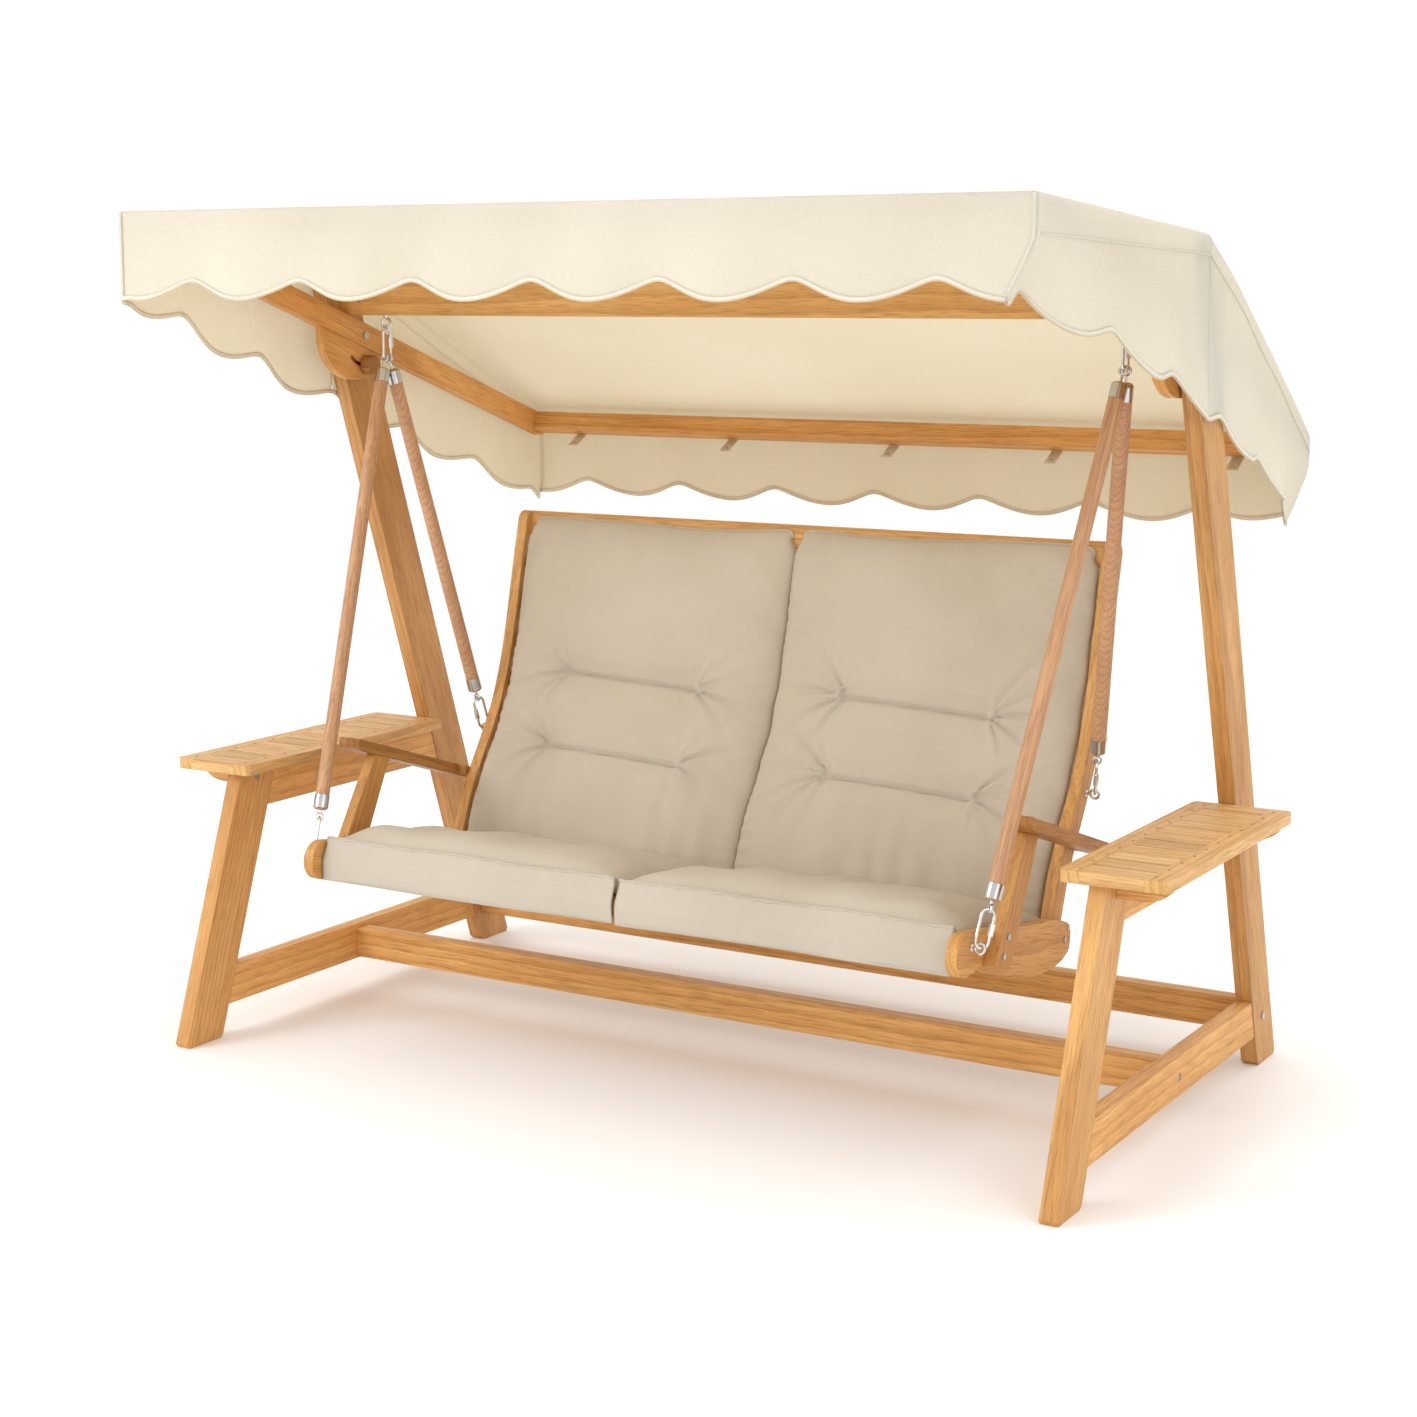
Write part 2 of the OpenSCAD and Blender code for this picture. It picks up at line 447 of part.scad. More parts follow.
module back_post(s) color("goldenrod") at() mir(s) difference() {
  slab(sw0 - seat_t, sw0, concat(side(back_c, back_w), arc(back_c[len(back_c) - 1], back_w, 152, 0, 10), rev(side(back_c, -back_w))));
  bar(sw0 - seat_t + 4, sw0 + 1, er[1], er[2], 7.1);
  for (p = bp_bolts) bar(sw0 - seat_t - 1, sw0 + 1, p[0], p[1], 6.1);
  for (p = ar_bolts) bar(sw0 - seat_t - 1, sw0 + 1, p[0], p[1], 6.1);
}
bx = sw0 - seat_t;                     // inner faces of the back posts
module back_top_rail() color("goldenrod") at() slab(-bx, bx, [[360, 1188], [382, 1184], [394, 1236], [390, 1246], [380, 1249], [372, 1242]]);
module seat_front_rail() color("goldenrod") at() slab(-sw0, sw0, [[-468, 428], [-440, 424], [-440, 478], [-462, 480], [-468, 472]]);
module seat_rear_rail() color("goldenrod") at() slab(-sw0 + seat_t + 0, sw0 - seat_t, [[-6, 350], [22, 352], [22, 396], [-6, 400]]);
slat_z = function (y) 480 - 0.155 * (y + 455);
sl = 18;
module seat_slats() color("goldenrod") at() for (i = [0 : 6]) let (y = -432 + i * 62)
  slab(-sw0, sw0, [[y, slat_z(y) - sl], [y + 48, slat_z(y + 48) - sl], [y + 48, slat_z(y + 48)], [y, slat_z(y)]]);
// back slats follow the rear part of the back posts
bk_i = [5, 9, 13, 17, 21, 25, 29, 33, 37, 41];
back_in = side(back_c, -6);
back_out = side(back_c, -22);
module back_slats() color("goldenrod") at() for (i = bk_i)
  slab(-bx, bx, [back_in[i], back_in[i + 2], back_out[i + 2], back_out[i]]);
// middle bearers under the slats
module seat_bearers() color("goldenrod") at() {
  slab(-14, 14, concat([[-439.9, slat_z(-439.9) - sl - 0.05], [-6.1, slat_z(-6.1) - sl - 0.05], [-6.1, 362], [-200, 362], [-439.9, 425]]));
  slab(-14, 14, concat(side([for (i = [4 : 44]) back_c[i]], -24), rev(side([for (i = [4 : 44]) back_c[i]], -48))));
}
sp_bolts = [[44, 384], [62, 408], [-352, 440], [-330, 478]];
ap_bolts = [[-352, 440], [-330, 478]];
ar_bolts = [[120, 586], [146, 582]];
bp_bolts = [[44, 384], [62, 408]];
module carriage(x0, x1, y, z) { bar(x0, x1, y, z, 6); translate([x1, y, z]) rotate([0, 90, 0]) cylinder(h = 2.5, d = 14); }
module seat_bolts() color("silver") at() for (s = [-1, 1]) mir(s) {
  for (p = ap_bolts) carriage(sw0, sw1 + seat_t, p[0], p[1]);
  for (p = bp_bolts) carriage(sw0 - seat_t, sw1, p[0], p[1]);
  for (p = ar_bolts) carriage(sw0 - seat_t, sw1 + 62, p[0], p[1]);
}

// ------------------------------------------------------------------- cushions
module seat_cushion(x0, x1, yf) slab(x0, x1, [[-440, slat_z(-440) + 1], [22, slat_z(22) + 1], [28, 425], [20, 452], [-380, slat_z(-380) + cushion_t],
  [-452, slat_z(-452) + cushion_t - 12], [yf + 8, 516], [yf, 500], [yf, 412], [yf + 8, 412], [yf + 8, 484], [-462, 484]]);
module left_seat_cushion() color("tan") at() seat_cushion(-sw0 + 2, -3, -484);
module right_seat_cushion() color("tan") at() seat_cushion(3, sw0 - 2, -484);
cb_i = [for (i = [11 : 44]) i];
module back_cushion(x0, x1) slab(x0, x1, concat([for (i = cb_i) side(back_c, -5)[i]], [[352, 1238], [330, 1240]], rev([for (i = cb_i) side(back_c, 58)[i]]), [[48, 470]]));
module left_back_cushion() color("tan") at() back_cushion(-bx + 4, -3);
module right_back_cushion() color("tan") at() back_cushion(3, bx - 4);

front_leg(-1);  // left_front_leg
front_leg(1);  // right_front_leg
rear_post(-1);  // left_rear_post
rear_post(1);  // right_rear_post
lower_rail(-1);  // left_lower_rail
lower_rail(1);  // right_lower_rail
table_rail(-1);  // left_table_rail
table_rail(1);  // right_table_rail
table_frame(-1);  // left_table_frame
table_frame(1);  // right_table_frame
table_slats_(-1);  // left_table_slats
table_slats_(1);  // right_table_slats
table_bearers();
centre_stretcher();
rear_stretcher();
top_beam();
frame_bolts();
frame_barrel_nuts();
beam_eyebolts();
canopy_cover_ridge();
canopy_arm(-1);  // left_canopy_arm
canopy_arm(1);  // right_canopy_arm
tilt_plate(-1);  // left_tilt_plate
tilt_plate(1);  // right_tilt_plate
canopy_front_bar();
canopy_rear_bar();
canopy_pivot_bolts();
canopy_cover_front();
canopy_cover_rear();
canopy_straps();
canopy_studs();
tilt_knob(-1);  // left_tilt_knob
tilt_knob(1);  // right_tilt_knob
side_plate(-1);  // left_side_plate
side_plate(1);  // right_side_plate
arm_post(-1);  // left_arm_post
arm_post(1);  // right_arm_post
armrest(-1);  // left_armrest
armrest(1);  // right_armrest
back_post(-1);  // left_back_post
back_post(1);  // right_back_post
arm_spacers();
back_top_rail();
seat_front_rail();
seat_rear_rail();
seat_slats();
back_slats();
seat_bearers();
seat_bolts();
hanger_rods();
rod_ferrules();
rod_eyes();
quick_links();
link_nuts();
seat_eyebolts();
left_seat_cushion();
right_seat_cushion();
left_back_cushion();
right_back_cushion();
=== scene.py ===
import math
import bpy
import bmesh
import numpy as np
from mathutils import Vector, Matrix


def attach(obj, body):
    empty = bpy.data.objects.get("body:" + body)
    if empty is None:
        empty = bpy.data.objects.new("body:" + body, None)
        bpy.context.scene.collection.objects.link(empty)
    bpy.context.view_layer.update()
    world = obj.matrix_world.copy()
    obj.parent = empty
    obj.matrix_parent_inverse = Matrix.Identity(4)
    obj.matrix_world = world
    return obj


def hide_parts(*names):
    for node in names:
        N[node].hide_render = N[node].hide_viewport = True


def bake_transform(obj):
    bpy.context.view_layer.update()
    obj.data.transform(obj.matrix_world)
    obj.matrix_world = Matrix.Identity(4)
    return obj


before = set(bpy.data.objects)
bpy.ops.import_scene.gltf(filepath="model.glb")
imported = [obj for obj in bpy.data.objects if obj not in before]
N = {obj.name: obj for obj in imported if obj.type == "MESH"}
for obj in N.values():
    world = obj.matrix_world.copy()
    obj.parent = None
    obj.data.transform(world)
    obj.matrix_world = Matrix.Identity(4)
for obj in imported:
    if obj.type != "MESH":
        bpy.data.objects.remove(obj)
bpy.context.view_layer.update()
YS = -0.040          # the beam's middle, in the row frame


# ------------------------------------------------------------------ materials
def new_mat(name):
    m = bpy.data.materials.new(name)
    m.use_nodes = True
    nt = m.node_tree
    for n in list(nt.nodes):
        nt.nodes.remove(n)
    out = nt.nodes.new("ShaderNodeOutputMaterial")
    b = nt.nodes.new("ShaderNodeBsdfPrincipled")
    nt.links.new(b.outputs[0], out.inputs[0])
    return m, nt, b, out


def node(nt, kind, **kw):
    n = nt.nodes.new(kind)
    for k, v in kw.items():
        if k.startswith("i_"):
            n.inputs[k[2:].replace("_", " ")].default_value = v
        else:
            setattr(n, k, v)
    return n


def ramp(nt, src, stops):
    r = nt.nodes.new("ShaderNodeValToRGB")
    e = r.color_ramp.elements
    while len(e) < len(stops):
        e.new(0.5)
    for i, (p, c) in enumerate(stops):
        e[i].position = p
        e[i].color = (c[0], c[1], c[2], 1) if isinstance(c, (tuple, list)) else (c, c, c, 1)
    nt.links.new(src, r.inputs[0])
    return r


def mixc(nt, mode, fac, a, b):
    m = nt.nodes.new("ShaderNodeMix")
    m.data_type = "RGBA"
    m.blend_type = mode
    if isinstance(fac, float):
        m.inputs[0].default_value = fac
    else:
        nt.links.new(fac, m.inputs[0])
    for sock, v in ((6, a), (7, b)):
        if isinstance(v, (tuple, list)):
            m.inputs[sock].default_value = (v[0], v[1], v[2], 1)
        else:
            nt.links.new(v, m.inputs[sock])
    return m.outputs[2]


def srgb(r, g, b):
    f = lambda c: ((c / 255 + 0.055) / 1.055) ** 2.4 if c > 10 else c / 255 / 12.92
    return (f(r), f(g), f(b))


def wood(name, along, light=(226, 178, 112), mid=(208, 153, 84), dark=(170, 112, 54), cells=None, rough=0.5, rot=0.0, grain=1.0):
    """oiled oak: growth rings and pores along a direction; cells gives separate boards their own tone"""
    m, nt, b, out = new_mat(name)
    tc = node(nt, "ShaderNodeTexCoord")
    d = Vector(along).normalized()
    # a mapping that turns the grain direction into local X
    q = d.rotation_difference(Vector((1, 0, 0)))
    mp = node(nt, "ShaderNodeMapping", vector_type="POINT")
    mp.inputs["Rotation"].default_value = q.to_euler()
    nt.links.new(tc.outputs["Object"], mp.inputs[0])
    src = mp.outputs[0]
    tone = None
    if cells:
        axis, pitch, off = cells
        sx = node(nt, "ShaderNodeSeparateXYZ")
        nt.links.new(tc.outputs["Object"], sx.inputs[0])
        a = node(nt, "ShaderNodeMath", operation="ADD")
        a.inputs[1].default_value = -off
        nt.links.new(sx.outputs[axis], a.inputs[0])
        dv = node(nt, "ShaderNodeMath", operation="DIVIDE")
        dv.inputs[1].default_value = pitch
        nt.links.new(a.outputs[0], dv.inputs[0])
        fl = node(nt, "ShaderNodeMath", operation="FLOOR")
        nt.links.new(dv.outputs[0], fl.inputs[0])
        wn = node(nt, "ShaderNodeTexWhiteNoise", noise_dimensions="1D")
        nt.links.new(fl.outputs[0], wn.inputs["W"])
        tone = wn.outputs["Value"]
        sc = node(nt, "ShaderNodeVectorMath", operation="SCALE")
        nt.links.new(wn.outputs["Color"], sc.inputs[0])
        sc.inputs["Scale"].default_value = 7.0
        ad = node(nt, "ShaderNodeVectorMath", operation="ADD")
        nt.links.new(mp.outputs[0], ad.inputs[0])
        nt.links.new(sc.outputs[0], ad.inputs[1])
        src = ad.outputs[0]
    # growth rings: a slow noise warps bands that run along the grain
    m2 = node(nt, "ShaderNodeMapping")
    m2.inputs["Scale"].default_value = (0.9, 9.0, 9.0)
    m2.inputs["Rotation"].default_value = (rot, 0.03, 0.04)
    nt.links.new(src, m2.inputs[0])
    wv = node(nt, "ShaderNodeTexWave", wave_type="BANDS", bands_direction="Y", wave_profile="SAW")
    wv.inputs["Scale"].default_value = 1.7 * grain
    wv.inputs["Distortion"].default_value = 5.0
    wv.inputs["Detail"].default_value = 2.0
    wv.inputs["Detail Scale"].default_value = 0.9
    wv.inputs["Detail Roughness"].default_value = 0.45
    nt.links.new(m2.outputs[0], wv.inputs[0])
    rings = ramp(nt, wv.outputs["Fac"], [(0.0, 0.0), (0.55, 0.25), (0.9, 0.85), (1.0, 0.1)])
    n1 = node(nt, "ShaderNodeTexNoise")
    m3 = node(nt, "ShaderNodeMapping")
    m3.inputs["Scale"].default_value = (1.2, 14.0, 14.0)
    nt.links.new(src, m3.inputs[0])
    n1.inputs["Scale"].default_value = 1.6
    n1.inputs["Detail"].default_value = 4.0
    nt.links.new(m3.outputs[0], n1.inputs[0])
    # pores: short dark dashes
    m4 = node(nt, "ShaderNodeMapping")
    m4.inputs["Scale"].default_value = (9.0, 260.0, 260.0)
    nt.links.new(src, m4.inputs[0])
    n2 = node(nt, "ShaderNodeTexNoise")
    n2.inputs["Scale"].default_value = 1.6
    n2.inputs["Detail"].default_value = 3.0
    n2.inputs["Roughness"].default_value = 0.6
    nt.links.new(m4.outputs[0], n2.inputs[0])
    pores = ramp(nt, n2.outputs["Fac"], [(0.36, 1.0), (0.52, 0.0)])
    base = ramp(nt, n1.outputs["Fac"], [(0.32, srgb(*mid)), (0.68, srgb(*light))])
    c1 = mixc(nt, "MIX", rings.outputs[0], base.outputs[0], srgb(*dark))
    f = node(nt, "ShaderNodeMath", operation="MULTIPLY")
    f.inputs[1].default_value = 0.52
    nt.links.new(rings.outputs[0], f.inputs[0])
    c1 = mixc(nt, "MIX", f.outputs[0], base.outputs[0], srgb(*dark))
    f2 = node(nt, "ShaderNodeMath", operation="MULTIPLY")
    f2.inputs[1].default_value = 0.38
    nt.links.new(pores.outputs[0], f2.inputs[0])
    c2 = mixc(nt, "MIX", f2.outputs[0], c1, srgb(dark[0] - 45, dark[1] - 40, dark[2] - 25))
    if tone is not None:
        r = ramp(nt, tone, [(0.0, (0.86, 0.84, 0.80)), (1.0, (1.06, 1.05, 1.04))])
        c2 = mixc(nt, "MULTIPLY", 1.0, c2, r.outputs[0])
    # broad patches of darker oil
    n3 = node(nt, "ShaderNodeTexNoise")
    n3.inputs["Scale"].default_value = 3.2
    n3.inputs["Detail"].default_value = 2.0
    nt.links.new(tc.outputs["Object"], n3.inputs[0])
    r3 = ramp(nt, n3.outputs["Fac"], [(0.3, (0.9, 0.87, 0.82)), (0.65, (1.03, 1.03, 1.03))])
    c3 = mixc(nt, "MULTIPLY", 1.0, c2, r3.outputs[0])
    nt.links.new(c3, b.inputs["Base Color"])
    rr = ramp(nt, n2.outputs["Fac"], [(0.3, rough + 0.14), (0.6, rough - 0.05)])
    nt.links.new(rr.outputs[0], b.inputs["Roughness"])
    bv = node(nt, "ShaderNodeBevel", samples=4)
    bv.inputs["Radius"].default_value = 0.0032
    bp = node(nt, "ShaderNodeBump")
    bp.inputs["Strength"].default_value = 0.22
    bp.inputs["Distance"].default_value = 0.0008
    nt.links.new(n2.outputs["Fac"], bp.inputs["Height"])
    nt.links.new(bv.outputs[0], bp.inputs["Normal"])
    nt.links.new(bp.outputs[0], b.inputs["Normal"])
    b.inputs["Specular IOR Level"].default_value = 0.42
    return m


def steel(name, tint=(0.78, 0.78, 0.77), rough=0.17):
    m, nt, b, out = new_mat(name)
    tc = node(nt, "ShaderNodeTexCoord")
    n1 = node(nt, "ShaderNodeTexNoise")
    n1.inputs["Scale"].default_value = 60.0
    n1.inputs["Detail"].default_value = 5.0
    nt.links.new(tc.outputs["Object"], n1.inputs[0])
    r = ramp(nt, n1.outputs["Fac"], [(0.3, rough), (0.75, rough + 0.16)])
    nt.links.new(r.outputs[0], b.inputs["Roughness"])
    n2 = node(nt, "ShaderNodeTexNoise")
    n2.inputs["Scale"].default_value = 14.0
    nt.links.new(tc.outputs["Object"], n2.inputs[0])
    c = ramp(nt, n2.outputs["Fac"], [(0.3, tuple(v * 0.82 for v in tint)), (0.7, tint)])
    nt.links.new(c.outputs[0], b.inputs["Base Color"])
    b.inputs["Metallic"].default_value = 1.0
    bp = node(nt, "ShaderNodeBump")
    bp.inputs["Strength"].default_value = 0.08
    bp.inputs["Distance"].default_value = 0.0004
    nt.links.new(n1.outputs["Fac"], bp.inputs["Height"])
    nt.links.new(bp.outputs[0], b.inputs["Normal"])
    return m


def cloth(name, light, dark, weave=900.0, rough=0.9, thin=0.0, sheen=0.25, bump=0.35, patch=2.4):
    """plain weave: two crossed fine waves, slubs and soft patches"""
    m, nt, b, out = new_mat(name)
    tc = node(nt, "ShaderNodeTexCoord")
    obj = tc.outputs["Object"]
    hs = []
    for direction in ("X", "Z"):
        w = node(nt, "ShaderNodeTexWave", wave_type="BANDS", bands_direction=direction, wave_profile="SIN")
        w.inputs["Scale"].default_value = weave
        w.inputs["Distortion"].default_value = 0.6
        w.inputs["Detail"].default_value = 1.0
        nt.links.new(obj, w.inputs[0])
        hs.append(w.outputs["Fac"])
    mx = node(nt, "ShaderNodeMath", operation="MAXIMUM")
    nt.links.new(hs[0], mx.inputs[0])
    nt.links.new(hs[1], mx.inputs[1])
    n1 = node(nt, "ShaderNodeTexNoise")
    n1.inputs["Scale"].default_value = patch
    n1.inputs["Detail"].default_value = 4.0
    nt.links.new(obj, n1.inputs[0])
    n2 = node(nt, "ShaderNodeTexNoise")
    n2.inputs["Scale"].default_value = 420.0
    n2.inputs["Detail"].default_value = 2.0
    nt.links.new(obj, n2.inputs[0])
    c = ramp(nt, n1.outputs["Fac"], [(0.3, srgb(*dark)), (0.7, srgb(*light))])
    t = ramp(nt, n2.outputs["Fac"], [(0.3, (0.93, 0.93, 0.92)), (0.7, (1.03, 1.03, 1.03))])
    c2 = mixc(nt, "MULTIPLY", 1.0, c.outputs[0], t.outputs[0])
    g = ramp(nt, mx.outputs[0], [(0.3, (0.95, 0.95, 0.94)), (0.9, (1.01, 1.01, 1.01))])
    c2 = mixc(nt, "MULTIPLY", 1.0, c2, g.outputs[0])
    nt.links.new(c2, b.inputs["Base Color"])
    b.inputs["Roughness"].default_value = rough
    b.inputs["Sheen Weight"].default_value = sheen
    b.inputs["Sheen Roughness"].default_value = 0.5
    b.inputs["Specular IOR Level"].default_value = 0.25
    ad = node(nt, "ShaderNodeMath", operation="ADD")
    nt.links.new(mx.outputs[0], ad.inputs[0])
    nt.links.new(n2.outputs["Fac"], ad.inputs[1])
    bp = node(nt, "ShaderNodeBump")
    bp.inputs["Strength"].default_value = bump
    bp.inputs["Distance"].default_value = 0.0005
    nt.links.new(ad.outputs[0], bp.inputs["Height"])
    nt.links.new(bp.outputs[0], b.inputs["Normal"])
    if thin > 0:
        tr = node(nt, "ShaderNodeBsdfTranslucent")
        nt.links.new(c2, tr.inputs[0])
        mxs = node(nt, "ShaderNodeMixShader")
        mxs.inputs[0].default_value = thin
        nt.links.new(b.outputs[0], mxs.inputs[1])
        nt.links.new(tr.outputs[0], mxs.inputs[2])
        nt.links.new(mxs.outputs[0], out.inputs[0])
    return m


def paint(objs, mat):
    for o in objs if isinstance(objs, (list, tuple)) else [objs]:
        o = N[o] if isinstance(o, str) else o
        if not o.data.materials:
            o.data.materials.append(mat)
        for i in range(len(o.data.materials)):
            o.data.materials[i] = mat


LEG_DIR = (0, 0.348, 1)
POST_DIR = (0, -0.342, 1)
ARM_DIR = (0, 0.949, -0.3157)
w_leg = wood("oak_leg", LEG_DIR, light=(226, 176, 108), mid=(213, 157, 86), dark=(170, 110, 52), rot=0.35, grain=1.5)
w_post = wood("oak_post", POST_DIR, light=(212, 162, 100), mid=(198, 144, 78), dark=(158, 100, 48), rot=1.2, grain=0.8)
w_rail = wood("oak_rail", (0, 1, 0), light=(238, 184, 108), mid=(226, 166, 90), dark=(182, 120, 58), rot=0.8)
w_long = wood("oak_long", (1, 0, 0), light=(238, 186, 112), mid=(226, 168, 92), rot=0.9)
w_beam = wood("oak_beam", (1, 0, 0), light=(226, 176, 106), mid=(210, 156, 84), rot=0.5, grain=1.3)
w_edge = wood("oak_table_edge", (0, 1, 0), light=(232, 190, 128), mid=(218, 170, 100), rot=0.3)
w_slat = wood("oak_table_slat", (1, 0, 0), light=(234, 196, 138), mid=(220, 174, 108), cells=(1, (0.789 + 0.006) / 11, -0.484 + YS), rot=0.7)
w_arm = wood("oak_canopy_arm", ARM_DIR, light=(236, 178, 104), mid=(220, 156, 82), dark=(172, 110, 52), rot=0.2)
w_bars = wood("oak_canopy_bar", (1, 0, 0), light=(236, 178, 104), mid=(220, 156, 82), dark=(172, 110, 52), rot=1.0)
w_seat = wood("oak_seat", (0, 1, -0.2), light=(224, 172, 100), mid=(210, 154, 82), dark=(166, 108, 50), rot=0.4, grain=1.3)
w_back = wood("oak_backpost", (0, 0.36, 1), light=(224, 172, 100), mid=(210, 154, 82), dark=(166, 108, 50), rot=0.9)
w_armp = wood("oak_armpost", (0, 0.5, 1), light=(216, 162, 90), mid=(198, 142, 72), rot=0.2)
w_rest = wood("oak_armrest", (0, 1, -0.317), light=(198, 142, 74), mid=(178, 122, 58), dark=(130, 80, 34), rot=0.6, rough=0.42)
w_slats = wood("oak_seat_slats", (1, 0, 0), cells=(1, 0.062, -0.472 + YS), rot=0.7)
w_knob = wood("oak_knob", (1, 0, 0), light=(186, 132, 70), mid=(162, 108, 52), dark=(112, 70, 32), rot=0.3, grain=2.5, rough=0.4)
w_rodf = wood("mahogany_rod_front", (0.09, 0.37, 1), light=(208, 164, 124), mid=(198, 150, 110), dark=(158, 108, 74), rot=0.2, grain=2.2)
m_steel = steel("zinc_steel")
m_ferrule = steel("chrome_ferrule", (0.60, 0.60, 0.60), 0.12)
m_dull = steel("dull_steel", (0.55, 0.54, 0.52), 0.32)

paint(["left_front_leg", "right_front_leg"], w_leg)
paint(["left_rear_post", "right_rear_post"], w_post)
paint(["left_lower_rail", "right_lower_rail", "left_table_rail", "right_table_rail"], w_rail)
paint(["left_table_frame", "right_table_frame"], w_edge)
paint(["left_table_slats", "right_table_slats"], w_slat)
paint(["centre_stretcher", "rear_stretcher", "table_bearers"], w_long)
paint(["top_beam"], w_beam)
paint(["left_canopy_arm", "right_canopy_arm", "left_tilt_plate", "right_tilt_plate"], w_arm)
paint(["canopy_front_bar", "canopy_rear_bar"], w_bars)
paint(["left_tilt_knob", "right_tilt_knob"], w_knob)
paint(["left_side_plate", "right_side_plate"], w_seat)
paint(["left_back_post", "right_back_post"], w_back)
paint(["left_arm_post", "right_arm_post"], w_armp)
paint(["left_armrest", "right_armrest", "arm_spacers"], w_rest)
paint(["back_top_rail", "seat_front_rail", "seat_rear_rail", "seat_slats", "back_slats", "seat_bearers"], w_slats)
paint(["hanger_rods"], w_rodf)
paint(["rod_ferrules"], m_ferrule)
paint(["beam_eyebolts", "rod_eyes", "quick_links", "link_nuts", "seat_eyebolts", "canopy_studs"], m_steel)
paint(["frame_bolts", "frame_barrel_nuts", "canopy_pivot_bolts", "seat_bolts"], m_dull)

m_canopy = cloth("canopy_cloth", (246, 244, 235), (240, 237, 224), weave=700, thin=0.45, sheen=0.1, bump=0.25, patch=1.6)
# same cloth as the top, with a painted warm shade tint for the inner faces under the canopy
m_under_painted_shade = cloth("canopy_cloth_under_painted_shade", (250, 243, 226), (245, 236, 215), weave=700, thin=0.5, sheen=0.1, bump=0.25, patch=1.6)
m_bind = cloth("binding_tape", (232, 227, 213), (223, 217, 200), weave=1400, thin=0.0, sheen=0.1)
# the same tape as the outer binding, with a painted warm shade tint for its inner face under the canopy
m_bind_inner_painted_shade = cloth("binding_tape_inner_painted_shade", (236, 224, 200), (226, 212, 186), weave=1400, thin=0.0, sheen=0.1)
m_edge = cloth("binding_edge", (222, 206, 176), (206, 188, 156), weave=1400, thin=0.0, sheen=0.1)
m_cush = cloth("cushion_cloth", (206, 195, 178), (196, 184, 165), weave=520, sheen=0.15, bump=0.4, patch=3.0)
m_flap = cloth("cushion_cloth_flap", (203, 193, 178), (195, 184, 167), weave=520, sheen=0.15, bump=0.4, patch=3.0)
m_web = cloth("strap_webbing", (242, 232, 206), (230, 218, 188), weave=1800, sheen=0.2, bump=0.8)
paint(["canopy_straps"], m_web)


# ---------------------------------------------------------------- mesh helpers
def make(name, verts, faces, mats, smooth=True):
    me = bpy.data.meshes.new(name)
    me.from_pydata([tuple(v) for v in verts], [], faces)
    me.update()
    o = bpy.data.objects.new(name, me)
    bpy.context.scene.collection.objects.link(o)
    for m in mats:
        me.materials.append(m)
    if smooth:
        me.polygons.foreach_set("use_smooth", [True] * len(me.polygons))
    return o


def apply_mods(o):
    bpy.context.view_layer.update()
    dg = bpy.context.evaluated_depsgraph_get()
    me = bpy.data.meshes.new_from_object(o.evaluated_get(dg))
    old = o.data
    o.modifiers.clear()
    o.data = me
    bpy.data.meshes.remove(old)
    return o


def grid_faces(nu, nv, base=0, flip=False):
    f = []
    for i in range(nu - 1):
        for j in range(nv - 1):
            a = base + i * nv + j
            q = (a, a + nv, a + nv + 1, a + 1)
            f.append(q[::-1] if flip else q)
    return f


def smoothstep(t):
    t = np.clip(t, 0, 1)
    return t * t * (3 - 2 * t)


def lump(x, y, seed, scale):
    """soft repeatable noise from a few waves"""
    r = np.random.RandomState(seed)
    out = 0
    for k in range(7):
        a = r.uniform(0, 2 * np.pi)
        f = scale * r.uniform(0.5, 1.8)
        out = out + np.sin(f * (x * np.cos(a) + y * np.sin(a)) + r.uniform(0, 6.28)) / 7
    return out


# --------------------------------------------------------------- canopy cover
FRONT, REAR = -0.790, 0.869          # relative to the beam
RIDGE_Z, FZ, RZ = 1.9385, 1.9995, 1.4795
END_X, MID_X = 1.1240, 1.1685


def roof_z(y):
    return np.where(y < 0, RIDGE_Z + (FZ - RIDGE_Z) * y / FRONT, RIDGE_Z + (RZ - RIDGE_Z) * y / REAR)


def side_x(y):
    f = np.where(y < -0.13, (y - FRONT) / (-0.13 - FRONT), np.where(y > 0.17, (REAR - y) / (REAR - 0.17), 1.0))
    return END_X + (MID_X - END_X) * np.clip(f, 0, 1) ** 0.85


def wave(t):
    """scallop: 0 at the lowest point, 1 at the peak between two"""
    return (1.03 - np.sqrt(np.cos(np.pi * t) ** 2 + 0.06)) / 0.785


def hem_side(y, s):
    base = 1.800 - 0.34 * (y - FRONT)
    if s > 0:
        base = base + 0.022 * np.sin(np.pi * np.clip((y - FRONT) / (REAR - FRONT), 0, 1))
    ph = (y - (-0.622 if s > 0 else -0.713)) / 0.288
    amp = 0.044 - 0.010 * (y - FRONT) / (REAR - FRONT)
    edge = smoothstep((y - FRONT) / 0.05) * smoothstep((REAR - y) / 0.05)
    if s > 0:
        base = base + 0.026 * smoothstep((y - 0.72) / 0.149)
    return base - 0.008 + amp * wave(ph) * edge + 0.002


def swing(y, f, s):
    """the lower corners on the right are drawn in towards the middle"""
    if s < 0:
        return 0.0 * y * f
    a = np.where(y < 0, 0.060 * (1 - smoothstep((y - FRONT) / 0.33)), 0.052 * (1 - smoothstep((REAR - y) / 0.32)))
    return a * np.clip((f - 0.40) / 0.60, 0, 1) ** 1.15


